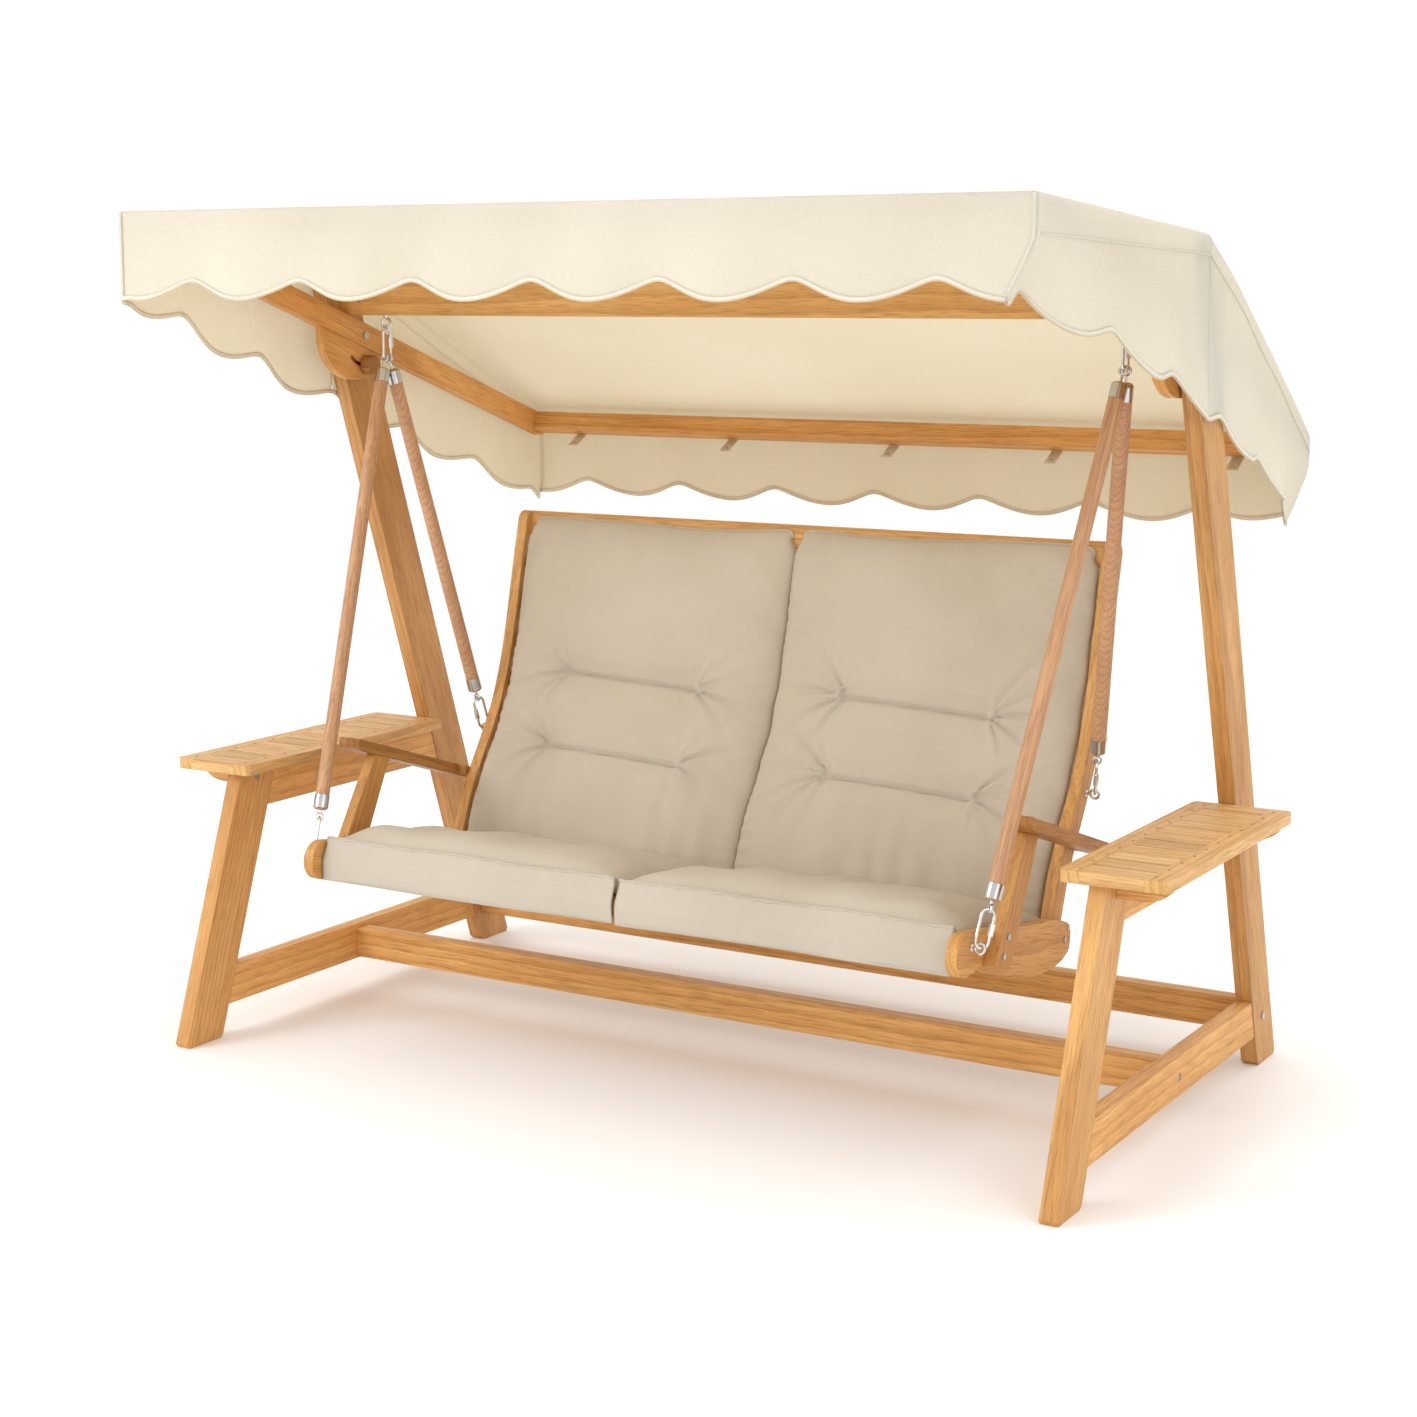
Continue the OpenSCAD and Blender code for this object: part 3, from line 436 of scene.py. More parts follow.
def panel_x(y, f, s, y_end, seed):
    """distance of a side panel from the middle plane, at a share f of the way down"""
    t = np.abs(y / y_end)
    fold = 0.009 * f * np.cos(2 * np.pi * (y - (-0.622 if s > 0 else -0.713)) / 0.288)
    fold = fold + 0.004 * f * lump(y, f * 0.3, seed + 5 + s, 13.0)
    near = np.exp(-((y - 0.10 * f) / 0.13) ** 2)
    fold = np.maximum(fold * (1 - near) * (1 - t ** 6), -0.006 - 0.02 * t)
    lean = 0.012 * f * (1 - near) * (1 - t ** 4)
    return side_x(y) + fold + lean - swing(y, f, s)


def valance(u, f, y_end, seed):
    """x and y of the end valance at a share f of the way down"""
    x = u * END_X
    x = x - np.clip(u, 0, 1) ** 4 * swing(y_end + 0 * x, f, 1)
    key = 0.147 if y_end < 0 else 0.199
    k = 1 - np.abs(u) ** 8
    flare = 0.012 * f * np.sin(2 * np.pi * (x + key) / 0.305 + np.pi / 2)
    y = 0.010 * f + flare + 0.004 * f * lump(x, f * 0.2, seed + 2, 11.0)
    return x, y_end + (-1.0 if y_end < 0 else 1.0) * y * k


def hem_front(x):
    return 1.8005 + 0.040 * wave((x + 0.147) / 0.306) * smoothstep((1.12 - np.abs(x)) / 0.03)


def hem_rear(x):
    z = 1.2540 + 0.038 * wave((x + 0.199) / 0.3045) * smoothstep((1.12 - np.abs(x)) / 0.03)
    return z + 0.024 * smoothstep((x - 0.90) / 0.17)


def cloth_half(name, y_end, hem_end, z_end, rows):
    """one continuous sheet: roof from the ridge to the end bar, the valance and both side panels"""
    out_dir = -1.0 if y_end < 0 else 1.0
    nx, nv, ns = 151, 10, 10
    ts = np.linspace(0, 1, rows)
    ys = ts * y_end
    verts, faces, key = [], [], {}

    def add(p):
        k = (round(p[0] * 5000), round(p[1] * 5000), round(p[2] * 5000))
        if k in key:
            return key[k]
        key[k] = len(verts)
        verts.append(p)
        return key[k]

    # roof
    us = np.linspace(-1, 1, nx)
    roof = np.zeros((rows, nx), int)
    seed = 3 if y_end < 0 else 8
    for i, y in enumerate(ys):
        hx = float(side_x(np.array(y)))
        t = abs(y / y_end)
        for j, u in enumerate(us):
            x = u * hx
            z = float(roof_z(np.array(y)))
            edge = (1 - abs(u) ** 10)
            z -= edge * math.sin(math.pi * t) * (0.014 + 0.006 * math.sin(3.1 * u + seed))
            # soft diagonal folds running from the middle of the ridge to the corners
            z += edge * math.sin(math.pi * t) * 0.0062 * float(lump(np.array(x * 1.0 + 0.7 * t), np.array(0.9 * t - 0.5 * abs(x)), seed, 9.0))
            # the cloth dips between the straps and the posts
            z -= (1 - abs(u) ** 6) * 0.006 * (1 - t) * (0.5 + 0.5 * math.cos(2 * math.pi * x / 2.2))
            roof[i, j] = add((x, y, z))
    for i in range(rows - 1):
        for j in range(nx - 1):
            q = (roof[i, j], roof[i, j + 1], roof[i + 1, j + 1], roof[i + 1, j])
            faces.append(q if y_end > 0 else q[::-1])
    # end valance
    val = np.zeros((nv, nx), int)
    for k in range(nv):
        f = k / (nv - 1)
        for j, u in enumerate(us):
            x, y = (float(q) for q in valance(np.array(u), f, y_end, seed))
            zt = verts[roof[rows - 1, j]][2]
            zb = float(hem_end(np.array(x)))
            if k == 0:
                val[k, j] = roof[rows - 1, j]
            else:
                val[k, j] = add((x, y, zt + (zb - zt) * f))
    for k in range(nv - 1):
        for j in range(nx - 1):
            q = (val[k, j], val[k, j + 1], val[k + 1, j + 1], val[k + 1, j])
            faces.append(q if y_end > 0 else q[::-1])
    # side panels
    hems = {"end": [val[nv - 1, j] for j in range(nx)]}
    for s in (-1, 1):
        sp = np.zeros((ns, rows), int)
        for i, y in enumerate(ys):
            jt = nx - 1 if s > 0 else 0
            zt = verts[roof[i, jt]][2]
            zb = float(hem_side(np.array(y), s))
            if i == rows - 1:
                for k in range(ns):
                    sp[k, i] = val[k, jt]
                continue
            for k in range(ns):
                if k == 0:
                    sp[k, i] = roof[i, jt]
                    continue
                f = k / (ns - 1)
                sp[k, i] = add((s * float(panel_x(np.array(y), f, s, y_end, seed)), y, zt + (zb - zt) * f))
        for k in range(ns - 1):
            for i in range(rows - 1):
                q = (sp[k, i], sp[k, i + 1], sp[k + 1, i + 1], sp[k + 1, i])
                good = (s > 0) == (y_end > 0)
                faces.append(q[::-1] if good else q)
        hems[s] = [sp[ns - 1, i] for i in range(rows)]
    o = make(name, [(v[0], v[1] + YS, v[2]) for v in verts], faces, [m_canopy, m_under_painted_shade])
    # crease the sewn edges a little so that they stay crisp
    bm = bmesh.new()
    bm.from_mesh(o.data)
    bm.verts.ensure_lookup_table()
    bmesh.ops.recalc_face_normals(bm, faces=bm.faces)
    up = sum(f.normal.z for f in bm.faces)
    if up < 0:
        bmesh.ops.reverse_faces(bm, faces=bm.faces)
    cr = bm.edges.layers.float.new("crease_edge")
    for e in bm.edges:
        if len(e.link_faces) == 2:
            a = e.link_faces[0].normal.angle(e.link_faces[1].normal, 0)
            if a > math.radians(25):
                d = e.verts[1].co - e.verts[0].co
                e[cr] = 0.72 if abs(d.x) > abs(d.y) + abs(d.z) else (0.45 if abs(d.z) > abs(d.y) * 2 else 0.22)
        else:
            e[cr] = 1.0 if abs(e.verts[0].co.y - YS) < 1e-4 and abs(e.verts[1].co.y - YS) < 1e-4 else 0.0
    bm.to_mesh(o.data)
    bm.free()
    sub = o.modifiers.new("s", "SUBSURF")
    sub.levels = sub.render_levels = 1
    apply_mods(o)
    area = sum(p.area for p in o.data.polygons)
    return o, area, verts, hems


def strip(name, line, ups, outs, w, lift, thick, mats):
    """a flat tape along a line: w wide along ups, lifted and as thick as told along outs"""
    line, ups, outs = (np.array(a, float) for a in (line, ups, outs))
    n = len(line)
    v = []
    for a, b in ((0.0, lift), (w, lift), (w, lift + thick), (0.0, lift + thick)):
        v.append(line + ups * a + outs * b)
    verts = np.concatenate(v)
    faces = []
    for i in range(n - 1):
        for k in range(4):
            a, b = k * n + i, ((k + 1) % 4) * n + i
            faces.append((a, a + 1, b + 1, b))
    faces.append((0, n, 2 * n, 3 * n))
    faces.append((4 * n - 1, 3 * n - 1, 2 * n - 1, n - 1))
    o = make(name, verts, faces, mats, smooth=True)
    bm = bmesh.new()
    bm.from_mesh(o.data)
    bmesh.ops.recalc_face_normals(bm, faces=bm.faces)
    bm.to_mesh(o.data)
    bm.free()
    return o


def join(name, objs):
    bm = bmesh.new()
    mats = []
    for o in objs:
        for m in o.data.materials:
            if m not in mats:
                mats.append(m)
    off = 0
    me = bpy.data.meshes.new(name)
    vs, fs, mi = [], [], []
    for o in objs:
        b = len(vs)
        vs += [tuple(v.co) for v in o.data.vertices]
        for p in o.data.polygons:
            fs.append([b + i for i in p.vertices])
            mi.append(mats.index(o.data.materials[p.material_index]))
    me.from_pydata(vs, [], fs)
    for m in mats:
        me.materials.append(m)
    me.polygons.foreach_set("material_index", mi)
    me.polygons.foreach_set("use_smooth", [True] * len(fs))
    me.update()
    bm.free()
    for o in objs:
        d = o.data
        bpy.data.objects.remove(o)
        bpy.data.meshes.remove(d)
    o = bpy.data.objects.new(name, me)
    bpy.context.scene.collection.objects.link(o)
    return o


def trims(tag, y_end, hem_end, rows):
    """hem binding, corner seams and the sewn line along the side, as tapes on the sheet"""
    out = -1.0 if y_end < 0 else 1.0
    parts = []
    seed = 3 if y_end < 0 else 8
    u = np.linspace(-1, 1, 241)
    xs, yy = valance(u, 1.0, y_end, seed)
    zb = hem_end(xs)
    line = np.stack([xs, yy, zb - 0.001], 1)
    ups = np.tile([0, 0, 1.0], (len(xs), 1))
    outs = np.tile([0, out, 0], (len(xs), 1))
    parts.append(strip("b", line, ups, outs, 0.0095, 0.0008, 0.0012, [m_bind]))
    # tape on the inner face, in the copy with the painted warm shade tint
    parts.append(strip("b", line, ups, -outs, 0.0095, 0.0020, 0.0010, [m_bind_inner_painted_shade]))
    parts.append(strip("b", line - np.array([0, 0, 0.0008]), ups, outs, 0.0022, 0.0010, 0.0016, [m_edge]))
    for s in (-1, 1):
        ys = np.linspace(0, 1, 121) * y_end
        zb = hem_side(ys, s)
        line = np.stack([s * panel_x(ys, 1.0, s, y_end, seed), ys, zb - 0.001], 1)
        line[-1] = [s * END_X if s < 0 else float(valance(np.array(1.0), 1.0, y_end, seed)[0]), y_end, float(hem_end(np.array(END_X)))]
        ups = np.tile([0, 0, 1.0], (len(ys), 1))
        outs = np.tile([s, 0, 0.0], (len(ys), 1))
        parts.append(strip("b", line, ups, outs, 0.0095, 0.0008, 0.0012, [m_bind]))
        parts.append(strip("b", line, ups, -outs, 0.0095, 0.0020, 0.0010, [m_bind_inner_painted_shade]))
        parts.append(strip("b", line - np.array([0, 0, 0.0008]), ups, outs, 0.0022, 0.0010, 0.0016, [m_edge]))
        # corner seam, on the end valance a little in from the corner
        f = np.linspace(0.02, 0.94, 24)
        zt = FZ if y_end < 0 else RZ
        sx, sy = valance(s * (1 - 0.010 / END_X) + 0 * f, f, y_end, seed)
        z2 = float(hem_end(np.array(sx[-1])))
        line = np.stack([sx, sy + out * 0.001, zt + (z2 - zt) * f], 1)
        parts.append(strip("b", line, np.tile([s * 1.0, 0, 0], (24, 1)), np.tile([0, out, 0], (24, 1)), 0.007, 0.0006, 0.0014, [m_canopy]))
        # sewn line along the side panel
        ya = np.linspace(0.0, y_end * 0.985, 60)
        zz = np.where(ya < 0, 1.892 + 0.030 * ya / FRONT, 1.892 - 0.462 * ya / REAR)
        top = roof_z(ya)
        f = np.clip((top - zz) / (top - hem_side(ya, s)), 0, 1)
        line = np.stack([s * (panel_x(ya, f, s, y_end, seed) + 0.0008), ya, zz], 1)
        parts.append(strip("b", line, np.tile([0, 0, 1.0], (60, 1)), np.tile([s * 1.0, 0, 0], (60, 1)), 0.004, 0.0004, 0.0009, [m_canopy]))
    o = join("canopy_binding_" + tag, parts)
    for v in o.data.vertices:
        v.co.y += YS
    return o


def thicken(o, t=0.0012):
    md = o.modifiers.new("t", "SOLIDIFY")
    md.thickness = t
    md.offset = -1.0
    # inner faces and rims take the second slot: the cloth copy with the painted warm shade tint
    md.material_offset = 1
    md.material_offset_rim = 1
    md.use_even_offset = False
    apply_mods(o)


cov_f, area_f, _, _ = cloth_half("canopy_cloth_front", FRONT, hem_front, FZ, 49)
cov_r, area_r, _, _ = cloth_half("canopy_cloth_rear", REAR, hem_rear, RZ, 53)
thicken(cov_f)
thicken(cov_r)
trim_f = trims("front", FRONT, hem_front, 33)
trim_r = trims("rear", REAR, hem_rear, 41)
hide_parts("canopy_cover_front", "canopy_cover_ridge")
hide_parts("canopy_cover_rear")
for o in (cov_f, trim_f):
    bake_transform(o)
for o in (cov_r, trim_r):
    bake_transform(o)


# ------------------------------------------------------------------- cushions
def catmull(P, n):
    P = [np.array(p, float) for p in P]
    out = []
    for i in range(len(P) - 1):
        a, b, c, d = P[max(i - 1, 0)], P[i], P[i + 1], P[min(i + 2, len(P) - 1)]
        for k in range(n):
            t = k / n
            out.append(0.5 * ((2 * b) + (c - a) * t + (2 * a - 5 * b + 4 * c - d) * t * t + (3 * b - a - 3 * c + d) * t ** 3))
    out.append(P[-1])
    return np.array(out)


def resample(C, n):
    d = np.r_[0, np.cumsum(np.linalg.norm(np.diff(C, axis=0), axis=1))]
    s = np.linspace(0, d[-1], n)
    return np.stack([np.interp(s, d, C[:, k]) for k in range(C.shape[1])], 1)


BACK = [(0.046, 0.385), (0.062, 0.420), (0.080, 0.470), (0.104, 0.525), (0.136, 0.580), (0.176, 0.640), (0.214, 0.700),
        (0.248, 0.762), (0.286, 0.862), (0.314, 0.962), (0.338, 1.067), (0.358, 1.150), (0.372, 1.206), (0.381, 1.246)]


def star(U, V, u0, v0, w, h, n, ph, r0, toward):
    """wrinkles that radiate from the end of a sewn line, mostly away from it"""
    dx, dy = (U - u0) * w, (V - v0) * h
    r = np.sqrt(dx * dx + dy * dy) + 1e-6
    a = np.arctan2(dy, dx * toward)
    fan = np.exp(-(a / 1.25) ** 4)
    q = np.abs(np.sin(0.5 * (n * a + ph + 2.0 * r / r0 + 0.8 * np.sin(3 * a + ph))))
    return (1.15 - 2.1 * (1 - q ** 0.8)) * np.exp(-(r / r0) ** 1.3) * fan * np.clip(r / 0.015, 0, 1)


def back_cushion(name, x0, x1, seed):
    """x0 to x1 across, up the back: a filled slip cover with two part-width quilting lines"""
    nu, nv = 131, 171
    C = catmull(BACK, 8)
    # from where it meets the seat to the top rail
    C = resample(C[1:], nv)
    T = np.gradient(C, axis=0)
    T /= np.linalg.norm(T, axis=1)[:, None]
    Nn = np.stack([-T[:, 1], T[:, 0]], 1)          # towards the sitter
    U, V = np.meshgrid(np.linspace(-1, 1, nu), np.linspace(0, 1, nv), indexing="ij")
    W, H = (x1 - x0), np.sum(np.linalg.norm(np.diff(C, axis=0), axis=1))
    edge = (1 - np.abs(U) ** 7) ** 0.5
    topb = (1 - np.clip((V - 0.5) / 0.5, 0, 1) ** 11) ** 0.6
    botb = (1 - np.clip((0.5 - V) / 0.5, 0, 1) ** 14) ** 0.6
    env = edge * topb * botb
    fill = 0.048 + 0.010 * np.cos(0.5 * np.pi * U)
    thick = 0.004 + fill * env
    lines = [0.535, 0.305]                       # heights of the sewn lines
    ends = 0.47
    for v0 in lines:
        span = smoothstep((ends + 0.05 - np.abs(U)) / 0.10)
        d = (V - v0 + 0.022 * U) * H
        thick -= env * span * (0.015 * np.exp(-(d / 0.0040) ** 2) + 0.0085 * np.exp(-(np.abs(d) / 0.032) ** 1.4))
        thick += env * span * 0.006 * np.exp(-((np.abs(d) - 0.055) / 0.03) ** 2)
        for sd in (-1, 1):
            ue = sd * ends
            vv = v0 - 0.022 * ue
            r2 = ((U - ue) * W / 2) ** 2 + ((V - vv) * H) ** 2
            thick -= env * 0.006 * np.exp(-r2 / 0.05 ** 2)
            thick += env * 0.0088 * star(U, V, ue, vv, W / 2, H, 12.0, seed + v0 * 9, 0.150, sd)
            thick += env * 0.0042 * star(U, V, ue, vv, W / 2, H, 21.0, seed * 2 + v0 * 5, 0.11, sd)
    # slack folds: from the upper corners inwards, and along the foot
    x_m, y_m = U * W / 2, V * H
    thick += env * 0.0024 * lump(x_m, y_m, seed, 17.0)
    thick += env * 0.0012 * lump(x_m, y_m * 0.6, seed + 9, 46.0)
    # long slack creases across the pad
    cr = np.abs(np.sin(11 * x_m + 15 * y_m + 2.0 * lump(x_m, y_m, seed + 21, 6.0)))
    thick -= env * 0.0030 * (1 - cr) ** 5 * (0.5 + 0.5 * lump(x_m, y_m, seed + 31, 9.0))
    for sd in (-1, 1):
        a = (y_m - H) * 0.8 + (sd * x_m + W / 2) * 0.6
        thick += env * 0.0050 * np.sin(a * 52 + seed) * np.exp(-((sd * -x_m + W / 2) / 0.16) ** 2) * smoothstep((V - 0.55) / 0.3)
    # puckered side seams
    near = np.exp(-(1 - np.abs(U)) / 0.085)
    thick += env * 0.0075 * near * np.sin(y_m * 205 + 1.7 * np.sin(y_m * 31 + seed) + np.sign(U)) * (0.6 + 0.4 * np.sin(y_m * 11 + seed))
    # foot: folds standing up from the seat
    thick += env * 0.0075 * np.exp(-V / 0.13) * np.sin(x_m * 62 + 2.2 * np.sin(x_m * 13 + seed))
    # gathers along the top edge
    thick += env * 0.0040 * np.exp(-(1 - V) / 0.05) * np.sin(x_m * 95 + 2.6 * np.sin(x_m * 17 + seed))
    # waist between the corners, and a wandering edge
    xe = x_m * (1 - 0.005 * np.sin(np.pi * V)) + (x0 + x1) / 2
    corner = np.abs(U) ** 26 * smoothstep((V - 0.90) / 0.10) ** 2
    xe -= np.sign(U) * 0.022 * corner
    xe += np.sign(U) * np.abs(U) ** 8 * 0.0022 * np.sin(y_m * 44 + seed) * np.sin(np.pi * V)
    hz = 0.004 * np.abs(V) ** 12 * np.sin(x_m * 9 + seed)      # top edge sags a little
    top_dip = -0.010 * (V ** 14) * np.cos(U * np.pi / 2) * (1 if seed % 2 else 0.6) - 0.012 * smoothstep((V - 0.7) / 0.3) - 0.024 * corner
    P = np.zeros((nu, nv, 3))
    P[..., 0] = xe
    off = 0.006 + thick
    P[..., 1] = C[None, :, 0] + Nn[None, :, 0] * off + T[None, :, 0] * (hz + top_dip)
    P[..., 2] = C[None, :, 1] + Nn[None, :, 1] * off + T[None, :, 1] * (hz + top_dip)
    Q = P.copy()
    offb = -0.0035 + 0.0075 * (1 - env)
    Q[..., 1] = C[None, :, 0] + Nn[None, :, 0] * offb + T[None, :, 0] * (hz + top_dip)
    Q[..., 2] = C[None, :, 1] + Nn[None, :, 1] * offb + T[None, :, 1] * (hz + top_dip)
    return closed(name, P, Q, m_cush), P, C, Nn, T


def closed(name, P, Q, mat):
    """front grid P and back grid Q, sewn together round their border"""
    nu, nv = P.shape[:2]
    A = P.reshape(-1, 3)
    inner = np.zeros((nu, nv), int)
    base = len(A)
    vs = [tuple(p) for p in A]
    cnt = base
    for i in range(nu):
        for j in range(nv):
            if i in (0, nu - 1) or j in (0, nv - 1):
                inner[i, j] = i * nv + j
            else:
                vs.append(tuple(Q[i, j]))
                inner[i, j] = cnt
                cnt += 1
    faces = grid_faces(nu, nv)
    for i in range(nu - 1):
        for j in range(nv - 1):
            faces.append((inner[i, j + 1], inner[i + 1, j + 1], inner[i + 1, j], inner[i, j]))
    vs = [(v[0], v[1] + YS, v[2]) for v in vs]
    o = make(name, vs, faces, [mat])
    bm = bmesh.new()
    bm.from_mesh(o.data)
    bmesh.ops.recalc_face_normals(bm, faces=bm.faces)
    bm.to_mesh(o.data)
    bm.free()
    return o


def tube(name, pts, r, mat, n=8, wob=0.0):
    """a soft cord along points"""
    pts = np.array(pts, float)
    T = np.gradient(pts, axis=0)
    T /= np.linalg.norm(T, axis=1)[:, None]
    ref = np.array([0.0, 1.0, 0.2])
    vs, fs = [], []
    for i, p in enumerate(pts):
        a = np.cross(T[i], ref)
        a /= np.linalg.norm(a)
        b = np.cross(T[i], a)
        rr = r * (1 + wob * math.sin(i * 1.3))
        for k in range(n):
            an = 2 * math.pi * k / n
            vs.append(tuple(p + rr * (math.cos(an) * a + math.sin(an) * b)))
    m = len(pts)
    for i in range(m - 1):
        for k in range(n):
            a, b = i * n + k, i * n + (k + 1) % n
            fs.append((a, b, b + n, a + n))
    fs.append(tuple(range(n))[::-1])
    fs.append(tuple((m - 1) * n + k for k in range(n)))
    return make(name, [(v[0], v[1] + YS, v[2]) for v in vs], fs, [mat])


SEATZ = lambda y: 0.480 - 0.155 * (y + 0.455)


def seat_cushion(name, x0, x1, seed):
    """crowned pad on the slats, sewn at the front to a double flap that hangs over the rail"""
    nu, nv = 141, 111
    y_f, y_r = -0.462, 0.062
    U, V = np.meshgrid(np.linspace(-1, 1, nu), np.linspace(0, 1, nv), indexing="ij")
    W, L = x1 - x0, y_r - y_f
    xm, ym = U * W / 2, V * L
    edge = (1 - np.abs(U) ** 7) ** 0.5
    fr = (1 - (1 - np.clip(V / 0.30, 0, 1)) ** 2.6) ** 0.62
    rr = (1 - np.clip((V - 0.6) / 0.4, 0, 1) ** 5) ** 0.5
    env = edge * fr * rr
    base = SEATZ(y_f + ym) + 0.0035
    h0 = 0.038 * (1 - V) ** 1.0 + 0.010
    thick = h0 * edge * rr + (0.036 + 0.008 * np.cos(U * np.pi / 2)) * env
    # radial pleats that run in from the front seam and the two ends
    a = np.arctan2(ym + 0.02, xm)
    r = np.sqrt(xm ** 2 + (ym + 0.02) ** 2)
    front = np.exp(-V / 0.30)
    thick += env * 0.0050 * np.sin(xm * 24 + 3.0 * np.sin(xm * 4.2 + seed) + ym * 6) * front
    thick += env * 0.0022 * np.sin(xm * 58 + 2.0 * np.sin(xm * 9 + seed * 2) + ym * 12) * np.exp(-V / 0.10)
    thick += env * 0.0050 * np.sin(a * 13 + seed) * smoothstep((r - 0.18) / 0.2)
    thick += env * 0.0022 * lump(xm, ym, seed + 3, 21.0)
    near = np.exp(-(1 - np.abs(U)) / 0.05)
    thick += env * 0.0035 * near * np.sin(ym * 120 + seed)
    P = np.zeros((nu, nv, 3))
    P[..., 0] = (x0 + x1) / 2 + xm * (1 - 0.006 * np.sin(np.pi * V))
    P[..., 1] = y_f + ym
    P[..., 2] = base + thick
    Q = P.copy()
    Q[..., 2] = base
    # the front border sits on the seam line, over the rail
    seam_z = 0.5215 + 0.0018 * np.sin(xm[:, 0] * 17 + seed)
    drop = np.exp(-V / 0.035)
    P[..., 2] = P[..., 2] * (1 - drop) + seam_z[:, None] * drop
    o = closed(name, P, Q, m_cush)
    # flap
    nw = 33
    xs = np.linspace(x0 + 0.001, x1 - 0.001, 121)
    f = np.linspace(0, 1, nw)
    uu = (xs - (x0 + x1) / 2) / (W / 2)
    F = np.zeros((len(xs), nw, 3))
    B = np.zeros_like(F)
    for j in range(nw):
        t = f[j]
        z = (0.5215 + 0.0018 * np.sin((xs - (x0 + x1) / 2) * 17 + seed)) * (1 - t) + (0.4205 + 0.0015 * np.sin(xs * 8 + seed)) * t
        y = -0.466 - 0.020 * smoothstep(np.array(t * 1.6)) + 0.004 * t
        ruff = 0.0020 * np.sin(xs * 60 + 2 * np.sin(xs * 11 + seed)) * math.exp(-t / 0.18) + 0.0032 * t * lump(xs, 0.1 * t + 0 * xs, seed + 4, 16.0)
        F[:, j] = np.stack([xs + 0.002 * t * uu, y - 0.0035 - ruff - 0.0015 * math.sin(math.pi * t), z], 1)
        B[:, j] = np.stack([xs + 0.002 * t * uu, y + 0.0015 - ruff, z], 1)
    fl = closed(name + "_flap", F, B, m_flap)
    # the seam between pad and flap, with its top-stitched line below
    pipe = tube(name + "_seam", [(x, -0.4655 - 0.002, 0.5220 + 0.0018 * math.sin((x - (x0 + x1) / 2) * 17 + seed) + 0.0008 * math.sin(x * 190)) for x in np.linspace(x0 + 0.002, x1 - 0.002, 160)], 0.0032, m_flap)
    st = []
    n = 96
    for i in range(n):
        x = x0 + 0.008 + (W - 0.016) * (i + 0.2) / n
        t = 0.945
        z = 0.5215 * (1 - t) + 0.4205 * t
        st.append(tube("st", [(x, -0.4862 - 0.0012, z), (x + W / n * 0.3, -0.4866 - 0.0012, z), (x + W / n * 0.6, -0.4862 - 0.0012, z)], 0.0006, m_flap, n=4))
    stitch = join(name + "_stitches", st)
    return o, fl, pipe, stitch


cushions = []
for tag, x0, x1, seed in (("left", -0.803, 0.0035, 3), ("right", -0.0035, 0.803, 6)):
    o, P, C, Nn, T = back_cushion(tag + "_back_pad", x0, x1, seed)
    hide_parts(tag + "_back_cushion")
    # piping round the border, and a stitched line inside it
    nu, nv = P.shape[:2]
    loop = [P[i, nv - 1] for i in range(nu)]
    left = [P[0, j] for j in range(nv)]
    right = [P[nu - 1, j] for j in range(nv)]
    pipe = join(tag + "_back_piping", [tube("p", [tuple(q) for q in loop], 0.0042, m_flap, wob=0.12),
                                       tube("p", [tuple(q) for q in left], 0.0026, m_cush, wob=0.2),
                                       tube("p", [tuple(q) for q in right], 0.0026, m_cush, wob=0.2)])
    # quilting thread
    st = []
    for v0 in (0.535, 0.305):
        js = v0 * (nv - 1)
        n = 46
        for k in range(n):
            pts = []
            for q in (0.15, 0.5, 0.8):
                u = -0.46 + 0.92 * (k + q) / n
                i = (u + 1) / 2 * (nu - 1)
                j = js - 0.022 * u * (nv - 1)
                i0, j0 = int(i), int(j)
                a, b = i - i0, j - j0
                p = (P[i0, j0] * (1 - a) + P[i0 + 1, j0] * a) * (1 - b) + (P[i0, j0 + 1] * (1 - a) + P[i0 + 1, j0 + 1] * a) * b
                p = p + np.array([0, Nn[j0][0], Nn[j0][1]]) * 0.0006
                pts.append(tuple(p))
            st.append(tube("st", pts, 0.0009, m_flap, n=4))
    thread = join(tag + "_back_quilting", st)
    for p in (o, pipe, thread):
        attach(p, "swing")
for tag, x0, x1, seed in (("left", -0.833, -0.004, 2), ("right", 0.004, 0.833, 5)):
    o, fl, pipe, stitch = seat_cushion(tag + "_seat_pad", x0, x1, seed)
    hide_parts(tag + "_seat_cushion")
    for p in (o, fl, pipe, stitch):
        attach(p, "swing")



def cut(y_end, hem_end, z_end):
    """the cloth laid flat: overall width and length, and area of roof, end valance and two side panels, before any sag or fold"""
    tr = lambda v, d: float((v[:-1] + v[1:]).sum() * d / 2)
    ys = np.linspace(0, y_end, 400)
    dy = abs(y_end) / 399
    slope = math.hypot(y_end, z_end - RIDGE_Z)
    xs = np.linspace(-END_X, END_X, 400)
    drop = z_end - hem_end(xs)
    sides = [roof_z(ys) - hem_side(ys, s) for s in (-1, 1)]
    a = tr(2 * side_x(ys), dy) * slope / abs(y_end) + tr(drop, 2 * END_X / 399) + sum(tr(v, dy) for v in sides)
    return (round(float((2 * side_x(ys) + sides[0] + sides[1]).max()), 3), round(float(slope + drop.max()), 3)), a


flat_f, cut_f = cut(FRONT, hem_front, FZ)
flat_r, cut_r = cut(REAR, hem_rear, RZ)
print("CUT", flat_f, round(cut_f, 3), "mesh", round(area_f, 3), flat_r, round(cut_r, 3), "mesh", round(area_r, 3))


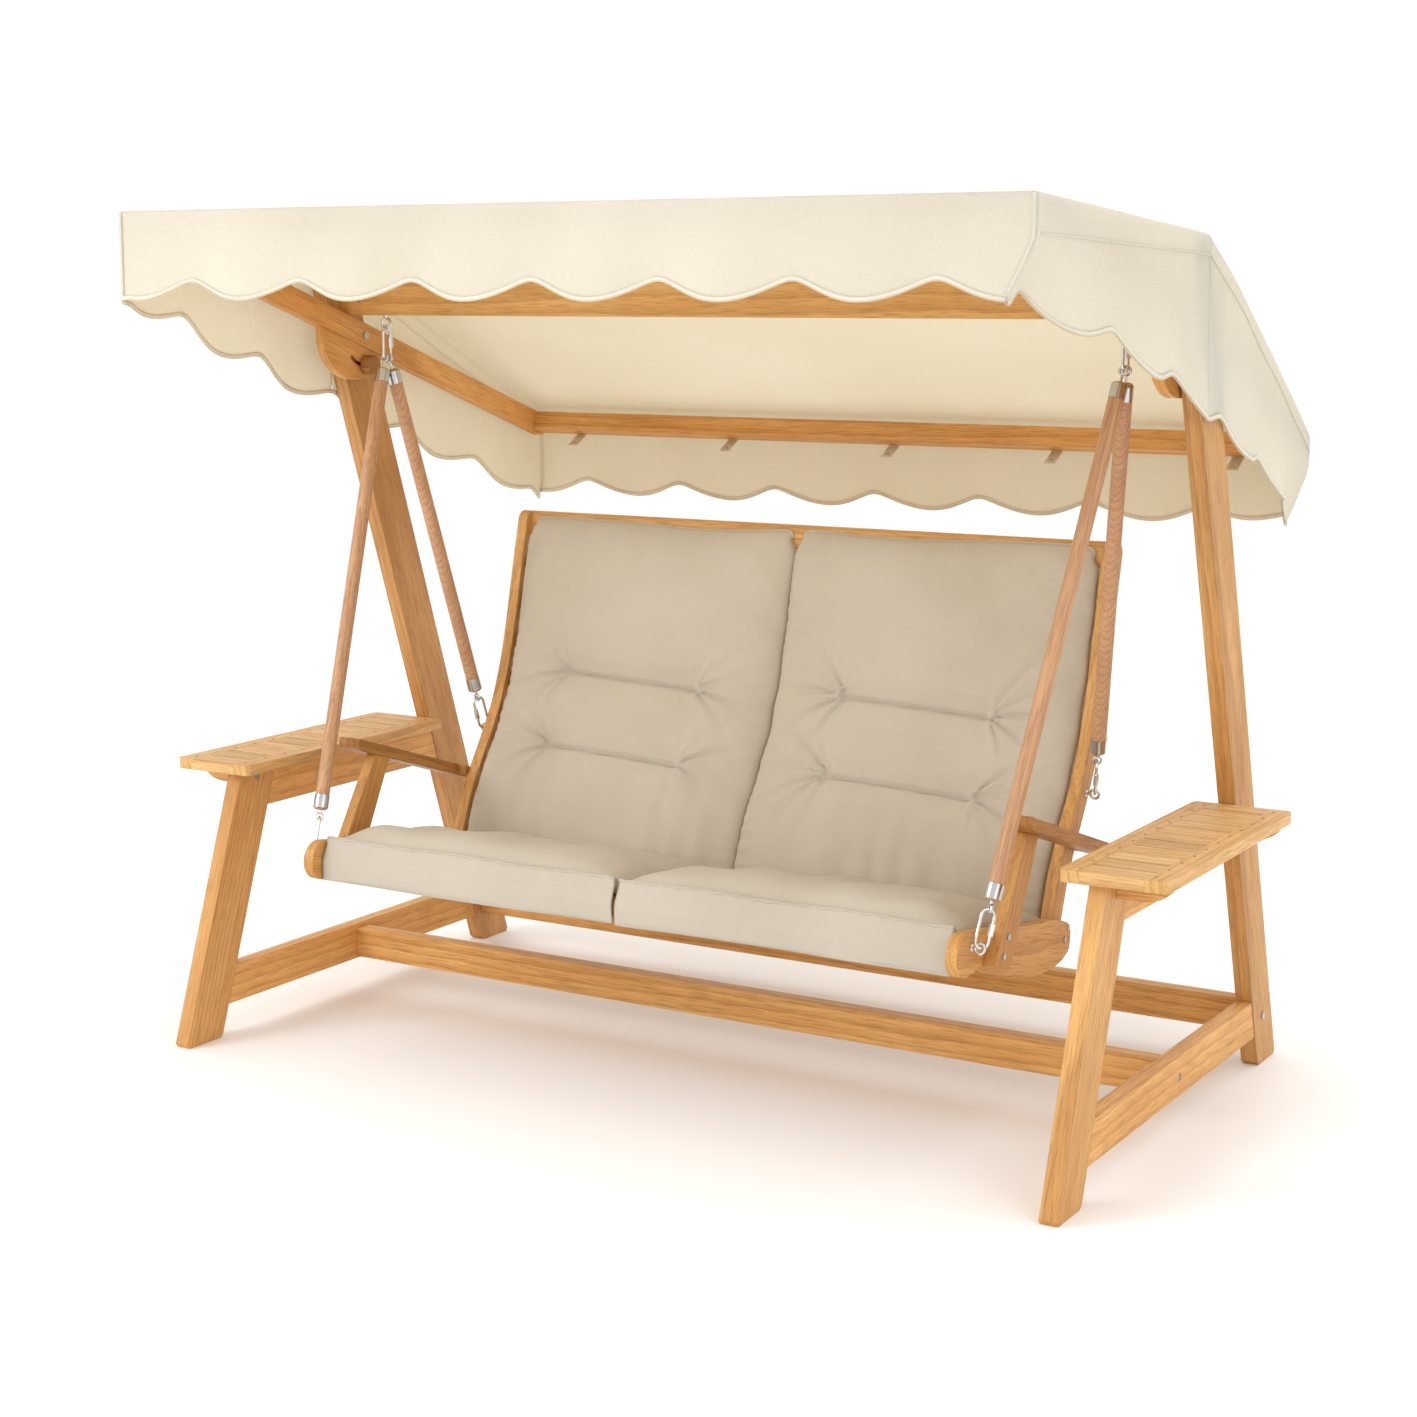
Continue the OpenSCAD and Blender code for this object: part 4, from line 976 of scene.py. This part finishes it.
# ------------------------------------------------------- small wooden plugs
def plugs(name, pts, axis, r, body, mat, dome=0.0006):
    """slightly domed wooden plugs over the screws; each point lies on the board's face"""
    vs, fs = [], []
    ax = Vector(axis).normalized()
    a = ax.orthogonal().normalized()
    b = ax.cross(a)
    n = 20
    for p in pts:
        p = Vector(p)
        base = len(vs)
        rings = [(1.0, -0.002), (1.0, dome * 0.4), (0.86, dome * 0.8), (0.5, dome)]
        for rr, h in rings:
            for k in range(n):
                t = 2 * math.pi * k / n
                vs.append(tuple(p + (a * math.cos(t) + b * math.sin(t)) * r * rr + ax * h))
        vs.append(tuple(p + ax * dome))
        c = len(vs) - 1
        for q in range(len(rings) - 1):
            for k in range(n):
                i, j = base + q * n + k, base + q * n + (k + 1) % n
                fs.append((i, j, j + n, i + n))
        for k in range(n):
            fs.append((base + 3 * n + k, base + 3 * n + (k + 1) % n, c))
        fs.append(tuple(base + k for k in range(n))[::-1])
    o = make(name, vs, fs, [mat])
    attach(o, body)
    return o


m_plug = wood("oak_plug", (0, 1, 0), light=(170, 118, 60), mid=(146, 96, 46), dark=(104, 64, 28), rough=0.5)
p_tab = []
pitch = (0.789 + 0.006) / 11
for s in (-1, 1):
    for x in (1.064 + 0.034, 1.294 - 0.034):
        for i in range(11):
            p_tab.append((s * x, -0.484 + YS + (i + 0.5) * pitch - 0.003, 0.677))
plugs("table_plugs", p_tab, (0, 0, 1), 0.0035, "frame", m_plug)


# ------------------------------------------------------------ floor and lights
def plane(name, size, z, mat):
    o = make(name, [(-size, -size, z), (size, -size, z), (size, size, z), (-size, size, z)], [(0, 1, 2, 3)], [mat], smooth=False)
    return o


fm, fnt, fb, _ = new_mat("studio_floor")
fb.inputs["Base Color"].default_value = (0.985, 0.985, 0.985, 1)
fb.inputs["Roughness"].default_value = 0.85
plane("studio_floor", 60.0, -0.0005, fm)

w = bpy.data.worlds.new("studio")
bpy.context.scene.world = w
w.use_nodes = True
w.node_tree.nodes["Background"].inputs[0].default_value = (1.0, 0.995, 0.985, 1)
w.node_tree.nodes["Background"].inputs[1].default_value = 1.04


def area(name, loc, target, size, power, color=(1, 1, 1)):
    d = bpy.data.lights.new(name, "AREA")
    d.shape = "RECTANGLE"
    d.size, d.size_y = size
    d.energy = power
    d.color = color
    o = bpy.data.objects.new(name, d)
    bpy.context.scene.collection.objects.link(o)
    o.location = loc
    o.rotation_euler = (Vector(target) - Vector(loc)).to_track_quat("-Z", "Y").to_euler()
    return o


area("key", (-3.6, -4.6, 3.6), (0, 0, 0.9), (2.6, 2.2), 120, (1.0, 0.985, 0.96))
area("fill", (4.8, -2.6, 2.2), (0, 0, 0.9), (2.4, 2.4), 22, (1.0, 0.99, 0.98))
area("top", (0.4, 0.4, 5.0), (0, 0, 1.0), (3.5, 3.0), 80, (1.0, 1.0, 1.0))

cam_d = bpy.data.cameras.new("camera")
cam_d.lens = 62.95
cam_d.sensor_width = 36.0
cam_d.clip_end = 200.0
cam = bpy.data.objects.new("camera", cam_d)
bpy.context.scene.collection.objects.link(cam)
cam.location = (2.9526, -5.0060 + YS, 1.8176)
R = Matrix.Rotation(math.radians(30.89), 4, "Z") @ Matrix.Rotation(math.radians(90 - 9.53), 4, "X")
cam.rotation_euler = R.to_euler()
bpy.context.scene.camera = cam
bpy.context.scene.view_settings.view_transform = "Standard"
